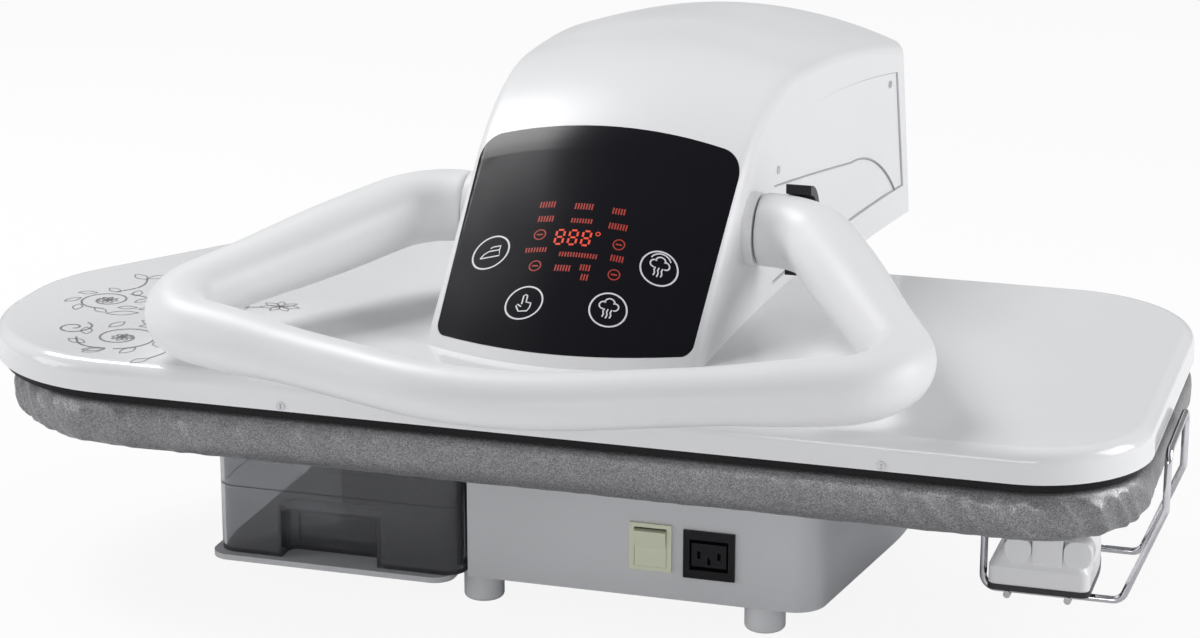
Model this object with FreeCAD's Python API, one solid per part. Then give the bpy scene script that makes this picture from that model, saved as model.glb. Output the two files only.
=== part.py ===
import FreeCAD
import Part

import math
import os

Vector = FreeCAD.Vector

# Steam ironing press, in millimetres. The origin is on the table under the middle of the press,
# +X points to the right, +Y to the rear and +Z up. The head is modelled closed on the board.
# Places along X below are measured from the middle of the hood, which stands right of the origin.
hood_offset = 3.0

# Pressing plate, seen from above
plate_left = -419.5
plate_right = 405.5
front_y = -273.8
plate_depth = 375.0
nose_y = 185.0
nose_run = 131.5
front_right_round = 80.0
rear_right_round = 95.0
rear_left_round = 130.0
nose_rear_round = 120.0
nose_front_round = 125.0

# Pressing plate, heights and walls
rim_height = 22.0
rim_round = 9.0
plate_wall = 2.5
heater_inset = 5.0
heater_drop = 6.2
heater_thickness = 12.0
press_gap = 0.3

# Feet, housing and board, stacked upwards from the table
foot_height = 22.0
foot_radius = 14.0
base_height = 88.0
rear_deck_drop = 36.0
base_wall = 3.0
bottom_sheet = 2.0
tray_lift = 6.0
tray_height = 13.5
tray_sheet = 1.5
foam_thickness = 14.0
cover_thickness = 2.0
foam_gap = 0.2
board_setback = 14.5
hem_width = 12.0
hem_drop = 2.5

# Housing, seen from above
base_front = 66.0
base_rear = 560.0
base_half_front = 189.0
base_half_width = 215.0
base_half_rear = 160.0
base_flare_end = 235.0
base_waist = 430.0
base_corner_round = 22.0

# Water tank and its bay
tank_left = -240.0
tank_right = -59.0
tank_front = 62.0
tank_depth = 170.0
tank_seam = 71.0
tank_top = 109.0
tank_wall = 2.5
tank_round = 14.0
tank_gap = 0.3
bay_margin = 4.0
tank_shelf = 4.0
valve_radius = 7.0
valve_x = -149.0
valve_z = 36.0
cap_radius = 24.0
cap_neck_radius = 20.0
cap_gap = 0.3
cap_x = -149.0
cap_y = 120.0

# Hinge behind the board
hinge_y = 470.0
hinge_rise = 26.0
hinge_shaft_radius = 8.0
bush_wall = 3.0
running_gap = 0.05
bracket_x = 75.0
arm_x = 60.0
plate_steel = 5.0

# Hood: the panel's slope, the arch above it, the crown from side to side and the flare to the rear
panel_foot = 77.0
panel_angle = 41.4
panel_length = 180.0
arch_radius = 203.0
hood_rear = 590.0
hood_rear_fall = 17.5
hood_rake = 11.0
crown_radius = 360.0
hood_half_front = 100.0
hood_half_middle = 101.5
hood_half_tail = 139.0
hood_middle = 270.0
hood_tail = 635.0
hood_wall = 3.0
shoulder_round = 11.0
hood_step = 383.0
hood_skirt = 17.0
window_band = 48.0
window_front = 288.0
window_rear_band = 10.0
window_sill = 8.0
panel_recess = 1.5
panel_sheet = 2.5

# Control panel
glass_thickness = 3.5
glass_half_low = 90.5
glass_half_top = 95.5
glass_sill = 7.0
glass_top = 228.0
glass_gap = 0.2
carrier_sheet = 2.5
board_depth = 22.0

# Handle: a loop in a plane that dips to the front, hung on the hood's sides
handle_y = 230.0
handle_rise = 65.0
handle_dip = 8.8
hub_radius = 26.0
elbow_radius = 22.0
grip_radius = 18.8
hub_gap = 0.6
hub_boss = 5.0
handle_shaft_radius = 9.0

# Switch and outlet in the front of the housing
switch_x = 75.6
switch_z = 58.4
outlet_x = 116.3
outlet_z = 56.5

# Hand iron and its rest
iron_x = 333.0
iron_heel = 88.0
iron_length = 150.0
iron_half_width = 34.0
iron_clearance = 0.3
rest_wire = 2.5
rest_floor = 38.0

# Heights and places that follow from the sizes above
deck_z = foot_height + base_height
rear_deck_z = deck_z - rear_deck_drop
tray_z = deck_z + tray_lift
tray_top = tray_z + tray_height
foam_top = tray_top + foam_thickness
cover_top = foam_top + cover_thickness
heater_z = cover_top + press_gap
heater_top = heater_z + heater_thickness
rim_z = heater_z + heater_drop
plate_top = rim_z + rim_height
hinge_z = plate_top + hinge_rise
handle_z = plate_top + handle_rise
slope = math.radians(panel_angle)

os.makedirs("parts", exist_ok=True)


def save(name, shape):
    placed = shape.copy()
    placed.translate(Vector(hood_offset, 0, 0))
    placed.exportStep("parts/" + name + ".step")


def box(x0, x1, y0, y1, z0, z1):
    return Part.makeBox(x1 - x0, y1 - y0, z1 - z0, Vector(x0, y0, z0))


def rod(start, direction, radius, length):
    return Part.makeCylinder(radius, length, start, direction)


def prism_z(wire, height):
    return Part.Face(wire).extrude(Vector(0, 0, height))


def prism_x(points, x0, x1):
    """Prism along X over a closed outline of (y, z) points."""
    corners = [Vector(x0, y, z) for y, z in points]
    wire = Part.makePolygon(corners + corners[:1])
    return Part.Face(wire).extrude(Vector(x1 - x0, 0, 0))


def unit(start, end):
    return (end - start).normalize()


def rounded_wire(corners, z):
    """Closed level wire round (x, y, radius) corners given counter-clockwise."""
    spans = []
    count = len(corners)
    for i, (x, y, radius) in enumerate(corners):
        here = Vector(x, y, z)
        last = corners[i - 1]
        following = corners[(i + 1) % count]
        before = unit(Vector(last[0], last[1], z), here)
        after = unit(here, Vector(following[0], following[1], z))
        half_turn = before.getAngle(after) / 2
        reach = radius * math.tan(half_turn)
        inward = (after - before).normalize()
        middle = here + inward * (radius / math.cos(half_turn) - radius)
        spans.append((here - before * reach, middle, here + after * reach))
    edges = []
    for i, (start, middle, end) in enumerate(spans):
        edges.append(Part.Arc(start, middle, end).toShape())
        edges.append(Part.LineSegment(end, spans[(i + 1) % count][0]).toShape())
    return Part.Wire(edges)


def grown(corners, offset):
    """The same corners with each side moved outwards by offset."""
    moved = []
    count = len(corners)
    for i, (x, y, radius) in enumerate(corners):
        last = corners[i - 1]
        following = corners[(i + 1) % count]
        before = unit(Vector(last[0], last[1], 0), Vector(x, y, 0))
        after = unit(Vector(x, y, 0), Vector(following[0], following[1], 0))
        out_before = Vector(before.y, -before.x, 0)
        out_after = Vector(after.y, -after.x, 0)
        shift = (out_before + out_after) * (offset / (1 + out_before.dot(out_after)))
        moved.append((x + shift.x, y + shift.y, radius + offset))
    return moved


def slab(corners, z0, z1):
    return prism_z(rounded_wire(corners, z0), z1 - z0)


def rounded_slab(corners, z0, z1, radius):
    """Level slab whose upper edge is rounded over."""
    body = slab(corners, z0, z1)
    return body.makeFillet(radius, [edge for edge in body.Edges if edge.BoundBox.ZMin > z1 - 0.1])


def stack(corners, levels):
    """Ruled solid through the outline at several heights, given as (z, offset)."""
    wires = [rounded_wire(grown(corners, offset), z) for z, offset in levels]
    return Part.makeLoft(wires, True, True)


def block(x0, x1, y0, y1, z0, z1, radius):
    """Upright block with rounded vertical edges."""
    return slab([(x1, y0, radius), (x1, y1, radius), (x0, y1, radius), (x0, y0, radius)], z0, z1)


def bent_wire(points, bends):
    """Wire of straight runs joined by tangent arcs, with one bend radius for each inner point."""
    edges = []
    start = points[0]
    for i, bend in enumerate(bends, 1):
        here = points[i]
        before = unit(points[i - 1], here)
        after = unit(here, points[i + 1])
        half_turn = before.getAngle(after) / 2
        run = bend * math.tan(half_turn)
        inward = (after - before).normalize()
        middle = here + inward * (bend / math.cos(half_turn) - bend)
        arc_start = here - before * run
        arc_end = here + after * run
        edges.append(Part.LineSegment(start, arc_start).toShape())
        edges.append(Part.Arc(arc_start, middle, arc_end).toShape())
        start = arc_end
    edges.append(Part.LineSegment(start, points[-1]).toShape())
    return Part.Wire(edges)


def bent_tube(points, bends, tube_radius):
    path = bent_wire(points, bends)
    ring = Part.Wire(Part.Circle(points[0], unit(points[0], points[1]), tube_radius).toShape())
    return path.makePipeShell([ring], True, False)


def back(distance):
    """Y of a place that lies this far behind the plate's front edge."""
    return front_y + distance


def plan_corners(left):
    return [
        (plate_right, front_y, front_right_round),
        (plate_right, back(plate_depth), rear_right_round),
        (left + nose_run, back(plate_depth), rear_left_round),
        (left, back(nose_y), nose_rear_round),
        (left, front_y, nose_front_round),
    ]


plate_plan = plan_corners(plate_left)
board_plan = plan_corners(plate_left + board_setback)
base_plan = [
    (base_half_front, back(base_front), base_corner_round),
    (base_half_width, back(base_flare_end), 300.0),
    (base_half_width, back(base_waist), 60.0),
    (base_half_rear, back(base_rear), 40.0),
    (-base_half_rear, back(base_rear), 40.0),
    (-base_half_width, back(base_waist), 60.0),
    (-base_half_width, back(base_flare_end), 300.0),
    (-base_half_front, back(base_front), base_corner_round),
]

# Far beyond the press on every side, for cutting prisms
reach = 900.0

bay_right = tank_right + bay_margin
bay_rear = tank_front + tank_depth + bay_margin
tank_rear = tank_front + tank_depth
housing_wall_y = back(base_front)
rest_rail_z = rest_floor + 2 * rest_wire
iron_z = rest_rail_z + rest_wire + iron_clearance


# Base housing: one moulding, open below, stepped down behind the board and cut away for the tank
def housing_volume(inset, bottom):
    body = slab(grown(base_plan, -inset), bottom, deck_z - inset)
    step = box(-reach, reach, back(plate_depth + 15) - inset, reach, rear_deck_z - inset, reach)
    bay = box(-reach, bay_right + inset, -reach, back(bay_rear) + inset, -reach, reach)
    return body.cut(step).cut(bay)


hose_radius = 5.0
hose_hole = hose_radius + 1.5
dock_radius = 9.0
dock_flange = dock_radius + 2.0
gland_bore = 4.2
gland_radius = 9.0
gland_x = 120.0
gland_z = 45.0
switch_half_width = 12.0
switch_half_height = 14.6
outlet_half_width = 14.0
outlet_half_height = 12.0


def make_base_housing():
    housing = housing_volume(0, foot_height).cut(housing_volume(base_wall, foot_height - 1))
    y0 = housing_wall_y - 1
    y1 = housing_wall_y + base_wall + 1
    switch_hole = box(
        switch_x - switch_half_width, switch_x + switch_half_width, y0, y1,
        switch_z - switch_half_height, switch_z + switch_half_height)
    outlet_hole = box(
        outlet_x - outlet_half_width, outlet_x + outlet_half_width, y0, y1,
        outlet_z - outlet_half_height, outlet_z + outlet_half_height)
    dock_hole = rod(Vector(valve_x, back(bay_rear) - 1, valve_z), Vector(0, 1, 0), dock_radius, base_wall + 2)
    gland_hole = rod(Vector(gland_x, back(base_rear) - base_wall - 1, gland_z), Vector(0, 1, 0),
                     gland_radius, base_wall + 2)
    hose_way = rod(Vector(0, back(hinge_y), rear_deck_z - base_wall - 1), Vector(0, 0, 1), hose_hole, base_wall + 2)
    for hole in (switch_hole, outlet_hole, dock_hole, gland_hole, hose_way):
        housing = housing.cut(hole)
    return housing


def make_bottom_plate():
    return housing_volume(base_wall, foot_height).common(
        box(-reach, reach, -reach, reach, foot_height, foot_height + bottom_sheet))


foot_inset = 23.0
front_foot_x = (-51.0, 149.5)
rear_foot_x = (-130.0, 130.0)
rear_foot_inset = 60.0
screw_x = (-100.0, 100.0)
screw_y = (300.0, 420.0)
screw_radius = 4.0
screw_head = 2.0


def make_feet(places_x, y):
    feet = []
    for x in places_x:
        foot = Part.makeCylinder(foot_radius, foot_height, Vector(x, y, 0))
        foot = foot.makeFillet(3.0, [edge for edge in foot.Edges if edge.BoundBox.ZMax < 1.0])
        feet.append(foot)
    return Part.makeCompound(feet)


def make_base_screws():
    screws = []
    for x in screw_x:
        for y in screw_y:
            screws.append(Part.makeCylinder(screw_radius, screw_head, Vector(x, back(y), foot_height - screw_head)))
    return Part.makeCompound(screws)


def make_tank_tray():
    x0 = tank_left - bay_margin
    x1 = front_foot_x[0] - foot_radius - 1.0
    y0 = back(tank_front - 6.0)
    y1 = back(bay_rear + 24.0)
    return block(x0, x1, y0, y1, foot_height - tank_shelf, foot_height, tank_round)


# Board: a steel ring on the housing, the pressed board, its foam and the drawn-in cloth cover
support_half = 170.0
support_front = 100.0
support_rear = 340.0
support_bar = 20.0


def make_board_support():
    """Angled steel ring that goes round behind the tank bay."""
    def cells(inset):
        top = tray_top - tray_sheet
        right = box(bay_right + 8.0 + inset, support_half - inset, back(support_front) + inset,
                    back(support_rear) - inset, deck_z, top)
        left = box(-support_half + inset, support_half - inset, back(bay_rear) + 8.0 + inset,
                   back(support_rear) - inset, deck_z, top)
        return right.fuse(left)

    return cells(0.0).cut(cells(support_bar)).removeSplitter()


tray_inset = 7.0
cover_bulge = 1.0
cover_levels = [
    (tray_z - hem_drop, -5.0),
    (tray_z + 3.0, -1.0),
    (tray_z + 9.0, cover_bulge),
    (tray_z + 20.0, cover_bulge),
    (cover_top - 4.0, -1.5),
    (cover_top, -6.0),
]


def make_board_tray():
    outer = slab(grown(board_plan, -tray_inset), tray_z, tray_top)
    inner = slab(grown(board_plan, -tray_inset - tray_sheet), tray_z, tray_top - tray_sheet)
    return outer.cut(inner)


def cover_inside(shrink):
    levels = [(z, offset - cover_thickness - shrink) for z, offset in cover_levels]
    levels[0] = (levels[0][0] + cover_thickness, levels[0][1])
    levels[-1] = (levels[-1][0] - cover_thickness - shrink, levels[-1][1])
    return stack(board_plan, levels)


def make_board_foam():
    return cover_inside(foam_gap).common(box(-reach, reach, -reach, reach, tray_top, cover_top))


def make_board_cover():
    hem_z = cover_levels[0][0]
    mouth = slab(grown(board_plan, cover_levels[0][1] - hem_width), hem_z, hem_z + cover_thickness)
    return stack(board_plan, cover_levels).cut(cover_inside(0)).cut(mouth)


# Hinge: two uprights on the rear deck carry the shaft; springs and the water union ride on it
eye_radius = 20.0


def make_hinge_bracket(side):
    x0 = side * bracket_x - plate_steel / 2
    x1 = side * bracket_x + plate_steel / 2
    centre = Vector(x0, back(hinge_y), hinge_z)
    foot_half = 40.0
    upright = prism_x([
        (back(hinge_y) - foot_half, rear_deck_z),
        (back(hinge_y) + foot_half, rear_deck_z),
        (back(hinge_y) + eye_radius, hinge_z),
        (back(hinge_y) - eye_radius, hinge_z)], x0, x1)
    eye = rod(centre, Vector(1, 0, 0), eye_radius, plate_steel)
    hole = rod(centre, Vector(1, 0, 0), hinge_shaft_radius, plate_steel)
    flange_x = sorted((side * bracket_x, side * (bracket_x - 28.0)))
    flange = box(flange_x[0], flange_x[1], back(hinge_y) - foot_half, back(hinge_y) + foot_half,
                 rear_deck_z, rear_deck_z + 4.0)
    return upright.fuse(eye).fuse(flange).cut(hole).removeSplitter()


def make_hinge_shaft():
    half = bracket_x + plate_steel
    return rod(Vector(-half, back(hinge_y), hinge_z), Vector(1, 0, 0), hinge_shaft_radius, 2 * half)


def sleeve(x0, x1, inner, outer):
    """Ring round the hinge shaft between two places along X."""
    start = Vector(x0, back(hinge_y), hinge_z)
    ring = rod(start, Vector(1, 0, 0), outer, x1 - x0)
    return ring.cut(rod(start, Vector(1, 0, 0), inner, x1 - x0))


spring_outer = 13.0
union_half = 14.0
union_radius = 15.0
collar_gap = 0.3


def make_lift_springs():
    inner = hinge_shaft_radius + collar_gap
    outside = arm_x - plate_steel / 2 - 3.0
    inside = union_half + 4.0
    left = sleeve(-outside, -inside, inner, spring_outer)
    right = sleeve(inside, outside, inner, spring_outer)
    return Part.makeCompound([left, right])


def make_water_union():
    ring = sleeve(-union_half, union_half, hinge_shaft_radius + collar_gap, union_radius)
    return ring


shroud_beside = 23.0
shroud_ahead = 58.0
shroud_behind = 52.0
shroud_wall = 3.0
shroud_round = 14.0
shroud_drop = 10.0


def make_tower_shroud():
    def tower(inset):
        half = bracket_x + shroud_beside - inset
        y0 = back(hinge_y - shroud_ahead) + inset
        y1 = back(hinge_y + shroud_behind) - inset
        return block(-half, half, y0, y1, rear_deck_z, plate_top - shroud_drop, shroud_round - inset)

    return tower(0.0).cut(tower(shroud_wall))


# Water path in the base
pump_x = 60.0
pump_rear = 370.0
pump_z = foot_height + bottom_sheet


def make_water_pump():
    body = block(pump_x - 24.0, pump_x + 24.0, back(pump_rear - 80.0), back(pump_rear), pump_z, pump_z + 20.0, 6.0)
    coil = rod(Vector(pump_x, back(pump_rear - 80.0), pump_z + 26.0), Vector(0, 1, 0), 20.0, 80.0)
    return body.fuse(coil).removeSplitter()


def make_tank_dock():
    flange = rod(Vector(valve_x, back(bay_rear) + base_wall, valve_z), Vector(0, 1, 0), dock_flange, 3.0)
    stem = rod(Vector(valve_x, back(tank_rear) + 3.8, valve_z), Vector(0, 1, 0), dock_radius, 16.0)
    return stem.fuse(flange).removeSplitter()


def make_pump_inlet_hose():
    start = Vector(valve_x, back(tank_rear) + 19.8, valve_z)
    end = Vector(pump_x - 24.0, back(pump_rear - 40.0), pump_z + 10.0)
    corner = Vector(valve_x, end.y, (start.z + end.z) / 2)
    return bent_tube([start, corner, end], [30.0], hose_radius)


def make_pump_outlet_hose():
    level = pump_z + 26.0
    return bent_tube([
        Vector(pump_x, back(pump_rear), level),
        Vector(pump_x, back(hinge_y - 38.0), level),
        Vector(0, back(hinge_y), level),
        Vector(0, back(hinge_y), hinge_z - union_radius)], [18.0, 18.0], hose_radius)


# Front of the housing: rocker switch and appliance outlet
bezel_flange = 2.0
switch_frame_half_width = 14.7
switch_frame_half_height = 16.7
switch_depth = 20.0
rocker_half_width = 11.0
rocker_half_height = 13.0
rocker_tilt = 7.0
rocker_pin = 2.0
rocker_gap = 0.35
pivot_depth = 4.0


def centred(x, z, half_width, half_height, y0, y1):
    return box(x - half_width, x + half_width, y0, y1, z - half_height, z + half_height)


def make_switch_bezel():
    front = housing_wall_y - bezel_flange
    rear = housing_wall_y + switch_depth
    flange = centred(switch_x, switch_z, switch_frame_half_width, switch_frame_half_height, front, housing_wall_y)
    body = centred(switch_x, switch_z, switch_half_width, switch_half_height, housing_wall_y, rear)
    mouth = centred(switch_x, switch_z, rocker_half_width + rocker_gap, rocker_half_height + 0.9,
                    front, rear - 2.0)
    pivot = Vector(switch_x - switch_half_width, housing_wall_y + pivot_depth, switch_z)
    bores = rod(pivot, Vector(1, 0, 0), rocker_pin + running_gap, 2 * switch_half_width)
    return flange.fuse(body).cut(mouth).cut(bores).removeSplitter()


def make_power_rocker():
    pivot_y = housing_wall_y + pivot_depth
    cap = prism_x([
        (pivot_y + 5.0, switch_z - 6.0),
        (pivot_y + 5.0, switch_z + 6.0),
        (pivot_y - 3.0, switch_z + rocker_half_height),
        (pivot_y - 7.5, switch_z + rocker_half_height),
        (pivot_y - 6.0, switch_z),
        (pivot_y - 7.5, switch_z - rocker_half_height),
        (pivot_y - 3.0, switch_z - rocker_half_height)],
        switch_x - rocker_half_width, switch_x + rocker_half_width)
    pin_half = switch_half_width - 0.1
    pin = rod(Vector(switch_x - pin_half, pivot_y, switch_z), Vector(1, 0, 0), rocker_pin, 2 * pin_half)
    rocker = cap.fuse(pin).removeSplitter()
    rocker.rotate(Vector(switch_x, pivot_y, switch_z), Vector(1, 0, 0), rocker_tilt)
    return rocker


outlet_flange_half_width = 17.8
outlet_flange_half_height = 16.9
outlet_island_half_width = 12.0
outlet_island_half_height = 8.2
pin_pitch = 14.0
earth_drop = 4.0
slot_depth = 14.0


def outlet_slots(margin, y0, y1):
    """The live, neutral and earth slots as upright blocks."""
    slots = []
    for x, z in ((-pin_pitch / 2, 0.0), (pin_pitch / 2, 0.0), (0.0, -earth_drop)):
        slots.append(centred(outlet_x + x, outlet_z + z, 1.1 + margin, 2.6 + margin, y0, y1))
    return slots


def make_iron_outlet():
    front = housing_wall_y - bezel_flange
    flange = centred(outlet_x, outlet_z, outlet_flange_half_width, outlet_flange_half_height, front, housing_wall_y)
    body = centred(outlet_x, outlet_z, outlet_half_width, outlet_half_height,
                   housing_wall_y, housing_wall_y + 20.0)
    well = centred(outlet_x, outlet_z, outlet_half_width - 0.6, outlet_half_height - 1.2,
                   front, housing_wall_y + 8.0)
    island = centred(outlet_x, outlet_z, outlet_island_half_width, outlet_island_half_height,
                     front + 0.5, housing_wall_y + 8.0)
    outlet = flange.fuse(body).cut(well).fuse(island)
    for slot in outlet_slots(0.0, front, housing_wall_y + slot_depth):
        outlet = outlet.cut(slot)
    return outlet.removeSplitter()


def make_outlet_contacts():
    y0 = housing_wall_y + 9.0
    return Part.makeCompound(outlet_slots(0.0, y0, housing_wall_y + slot_depth))


def make_cord_gland():
    wall_y = back(base_rear)
    body = rod(Vector(gland_x, wall_y - base_wall - 3.0, gland_z), Vector(0, 1, 0), gland_radius, base_wall + 13.0)
    collar = rod(Vector(gland_x, wall_y, gland_z), Vector(0, 1, 0), gland_radius + 3.0, 4.0)
    nut = rod(Vector(gland_x, wall_y - base_wall - 3.0, gland_z), Vector(0, 1, 0), gland_radius + 2.5, 3.0)
    bore = rod(Vector(gland_x, wall_y - base_wall - 4.0, gland_z), Vector(0, 1, 0), gland_bore, base_wall + 15.0)
    return body.fuse(collar).fuse(nut).cut(bore).removeSplitter()


# Water tank: a clear container with a finger recess, its lid, valve and filler cap
recess_left = -191.0
recess_right = -120.0
recess_top = 57.0
recess_depth = 18.0
tank_floor_z = foot_height + tank_gap


def tank_block(inset, z0, z1):
    return block(tank_left + inset, tank_right - inset, back(tank_front) + inset, back(tank_rear) - inset,
                 z0, z1, tank_round - inset)


def tank_recess(margin):
    return block(recess_left - margin, recess_right + margin, back(tank_front) - 30.0,
                 back(tank_front) + recess_depth + margin, tank_floor_z - 5.0, recess_top + margin, 6.0 + margin)


def make_water_tank():
    inside = tank_block(tank_wall, tank_floor_z + tank_wall, tank_seam).cut(tank_recess(tank_wall))
    tank = tank_block(0, tank_floor_z, tank_seam).cut(tank_recess(0)).cut(inside)
    hole = rod(Vector(valve_x, back(tank_rear) - tank_wall - 1, valve_z), Vector(0, 1, 0), valve_radius, tank_wall + 2)
    return tank.cut(hole)


def make_tank_lid():
    lid = tank_block(0, tank_seam, tank_top).cut(tank_block(tank_wall, tank_seam, tank_top - tank_wall))
    filler = Part.makeCylinder(cap_neck_radius + cap_gap, tank_wall + 2, Vector(cap_x, back(cap_y), tank_top - tank_wall - 1))
    return lid.cut(filler)


def make_tank_valve():
    start = Vector(valve_x, back(tank_rear) - 8.0, valve_z)
    return rod(start, Vector(0, 1, 0), valve_radius, 11.3)


def make_tank_cap():
    centre = Vector(cap_x, back(cap_y), tank_top)
    disc = Part.makeCylinder(cap_radius, 2.0, centre + Vector(0, 0, cap_gap))
    skirt = Part.makeCylinder(cap_neck_radius, 9.0, centre - Vector(0, 0, 8.5))
    hollow = Part.makeCylinder(cap_neck_radius - 2.0, 9.0, centre - Vector(0, 0, 8.5))
    bar = box(cap_x - 18.0, cap_x + 18.0, back(cap_y) - 3.0, back(cap_y) + 3.0, tank_top - 6.0, tank_top + cap_gap)
    return disc.fuse(skirt.cut(hollow)).fuse(bar).removeSplitter()


# Pressing plate: white casing over the black heated plate
steam_hole_radius = 1.6
steam_pitch_x = 52.0
steam_pitch_y = 62.0
bolt_radius = 3.0
bolt_x = 76.0
bolt_places = (155.0, 330.0)
nipple_y = 300.0
nipple_radius = 6.0
rim_screw_radius = 2.2
rim_screw_z = 3.5
rim_screw_x = (-162.0, 245.0)


def bolt_points():
    return [(side * bolt_x, back(y)) for side in (-1, 1) for y in bolt_places]


def rim_screw_solids():
    screws = []
    z = rim_z + rim_screw_z
    length = heater_inset + 6.0
    for x in rim_screw_x:
        for y, direction in ((front_y, 1), (back(plate_depth), -1)):
            shank = rod(Vector(x, y, z), Vector(0, direction, 0), rim_screw_radius, length)
            head = rod(Vector(x, y, z), Vector(0, -direction, 0), rim_screw_radius + 0.8, 0.8)
            screws.append(shank.fuse(head).removeSplitter())
    return screws


def make_plate_shell():
    shell = rounded_slab(plate_plan, rim_z, plate_top, rim_round)
    inside = grown(plate_plan, -plate_wall)
    shell = shell.cut(rounded_slab(inside, rim_z, plate_top - plate_wall, rim_round - plate_wall))
    for x, y in bolt_points():
        shell = shell.cut(Part.makeCylinder(bolt_radius, rim_height, Vector(x, y, rim_z + 1)))
    shell = shell.cut(Part.makeCylinder(nipple_radius + 1.0, rim_height, Vector(0, back(nipple_y), rim_z + 1)))
    return shell.cut(Part.makeCompound(rim_screw_solids()))


def make_heater_plate():
    plate = slab(grown(plate_plan, -heater_inset), heater_z, heater_top)
    holes = []
    for column in range(-6, 7):
        for row in range(4):
            x = column * steam_pitch_x
            y = back(95.0 + row * steam_pitch_y)
            holes.append(Part.makeCylinder(steam_hole_radius, 5.0, Vector(x, y, heater_z)))
    for x, y in bolt_points():
        holes.append(Part.makeCylinder(bolt_radius, 7.0, Vector(x, y, heater_top - 7.0)))
    return plate.cut(Part.makeCompound(holes)).cut(Part.makeCompound(rim_screw_solids()))


def make_heating_element():
    outer = slab(grown(plate_plan, -55.0), heater_top, heater_top + 7.0)
    inner = slab(grown(plate_plan, -63.0), heater_top, heater_top + 7.0)
    gap = box(100.0, 150.0, back(plate_depth / 2), back(plate_depth), heater_top, heater_top + 7.0)
    return outer.cut(inner).cut(gap)


chamber_half = 58.0
chamber_front = 110.0
chamber_rear = 309.0
chamber_height = 9.0
chamber_round = 12.0
nipple_stand = 10.0


def make_steam_chamber():
    lid = block(-chamber_half, chamber_half, back(chamber_front), back(chamber_rear),
                heater_top, heater_top + chamber_height, chamber_round)
    nipple = Part.makeCylinder(nipple_radius, plate_top + nipple_stand - heater_top,
                               Vector(0, back(nipple_y), heater_top))
    return lid.fuse(nipple).removeSplitter()


def make_thermostat():
    case = Part.makeCylinder(9.0, 8.0, Vector(-150.0, back(190.0), heater_top))
    tabs = box(-162.0, -138.0, back(188.0), back(192.0), heater_top, heater_top + 10.0)
    return case.fuse(tabs).removeSplitter()


def make_thermal_fuse():
    body = rod(Vector(120.0, back(190.0), heater_top + 2.5), Vector(1, 0, 0), 4.0, 26.0)
    return body.cut(box(100.0, 200.0, back(180.0), back(200.0), heater_top - 5.0, heater_top))


# Lever arms: from the hinge eye over the plate's rear edge to the handle's bearing and down to the plate
flange_front = 140.0
flange_rear = 345.0
flange_width = 28.0
flange_thickness = 4.0


def make_lever_arm(side):
    x0 = side * arm_x - plate_steel / 2
    x1 = side * arm_x + plate_steel / 2
    along = Vector(1, 0, 0)
    hinge = Vector(x0, back(hinge_y), hinge_z)
    bearing = Vector(x0, back(handle_y), handle_z)
    bar = prism_x([
        (hinge.y, hinge.z - 17.0), (hinge.y, hinge.z + 17.0),
        (bearing.y, bearing.z + 16.0), (bearing.y, bearing.z - 16.0)], x0, x1)
    web = prism_x([
        (back(208.0), plate_top), (back(flange_rear - 20.0), plate_top),
        (back(300.0), handle_z - 5.0), (back(handle_y - 12.0), handle_z)], x0, x1)
    arm = bar.fuse(web)
    arm = arm.fuse(rod(hinge, along, eye_radius, plate_steel))
    arm = arm.fuse(rod(bearing, along, 17.0, plate_steel))
    foot_x = sorted((side * arm_x, side * (arm_x + flange_width)))
    arm = arm.fuse(box(foot_x[0], foot_x[1], back(flange_front), back(flange_rear),
                       plate_top, plate_top + flange_thickness))
    arm = arm.cut(rod(hinge, along, hinge_shaft_radius + running_gap + bush_wall, plate_steel))
    arm = arm.cut(rod(bearing, along, handle_shaft_radius + running_gap, plate_steel))
    for x, y in bolt_points():
        arm = arm.cut(Part.makeCylinder(bolt_radius, 2 * flange_thickness, Vector(x, y, plate_top - 1)))
    return arm.removeSplitter()


def make_arm_bushes():
    bushes = []
    inner = hinge_shaft_radius + running_gap
    for side in (-1, 1):
        middle = side * arm_x
        half = plate_steel / 2 + 2.0
        barrel = sleeve(middle - plate_steel / 2, middle + plate_steel / 2, inner, inner + bush_wall)
        lip_x = sorted((middle - side * plate_steel / 2, middle - side * half))
        bushes.append(barrel.fuse(sleeve(lip_x[0], lip_x[1], inner, inner + bush_wall + 3.0)).removeSplitter())
    return Part.makeCompound(bushes)


crossbar_y = 325.0
crossbar_depth = 30.0
crossbar_height = 16.0
crossbar_drop = 10.0


def make_crossbar():
    half = arm_x - plate_steel / 2
    top = handle_z - crossbar_drop
    return box(-half, half, back(crossbar_y), back(crossbar_y + crossbar_depth), top - crossbar_height, top)


def make_plate_bolts():
    bolts = []
    for x, y in bolt_points():
        foot = heater_top - 7.0
        head_z = plate_top + flange_thickness
        shank = Part.makeCylinder(bolt_radius, head_z - foot, Vector(x, y, foot))
        head = Part.makeCylinder(5.2, 4.0, Vector(x, y, head_z))
        bolts.append(shank.fuse(head).removeSplitter())
    return Part.makeCompound(bolts)


def make_steam_hose():
    start = Vector(0, back(hinge_y) - union_radius - collar_gap, hinge_z)
    foot = Vector(0, back(nipple_y), plate_top + nipple_stand)
    return bent_tube([start, Vector(0, back(nipple_y), hinge_z), foot], [14.0], hose_radius)


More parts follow.
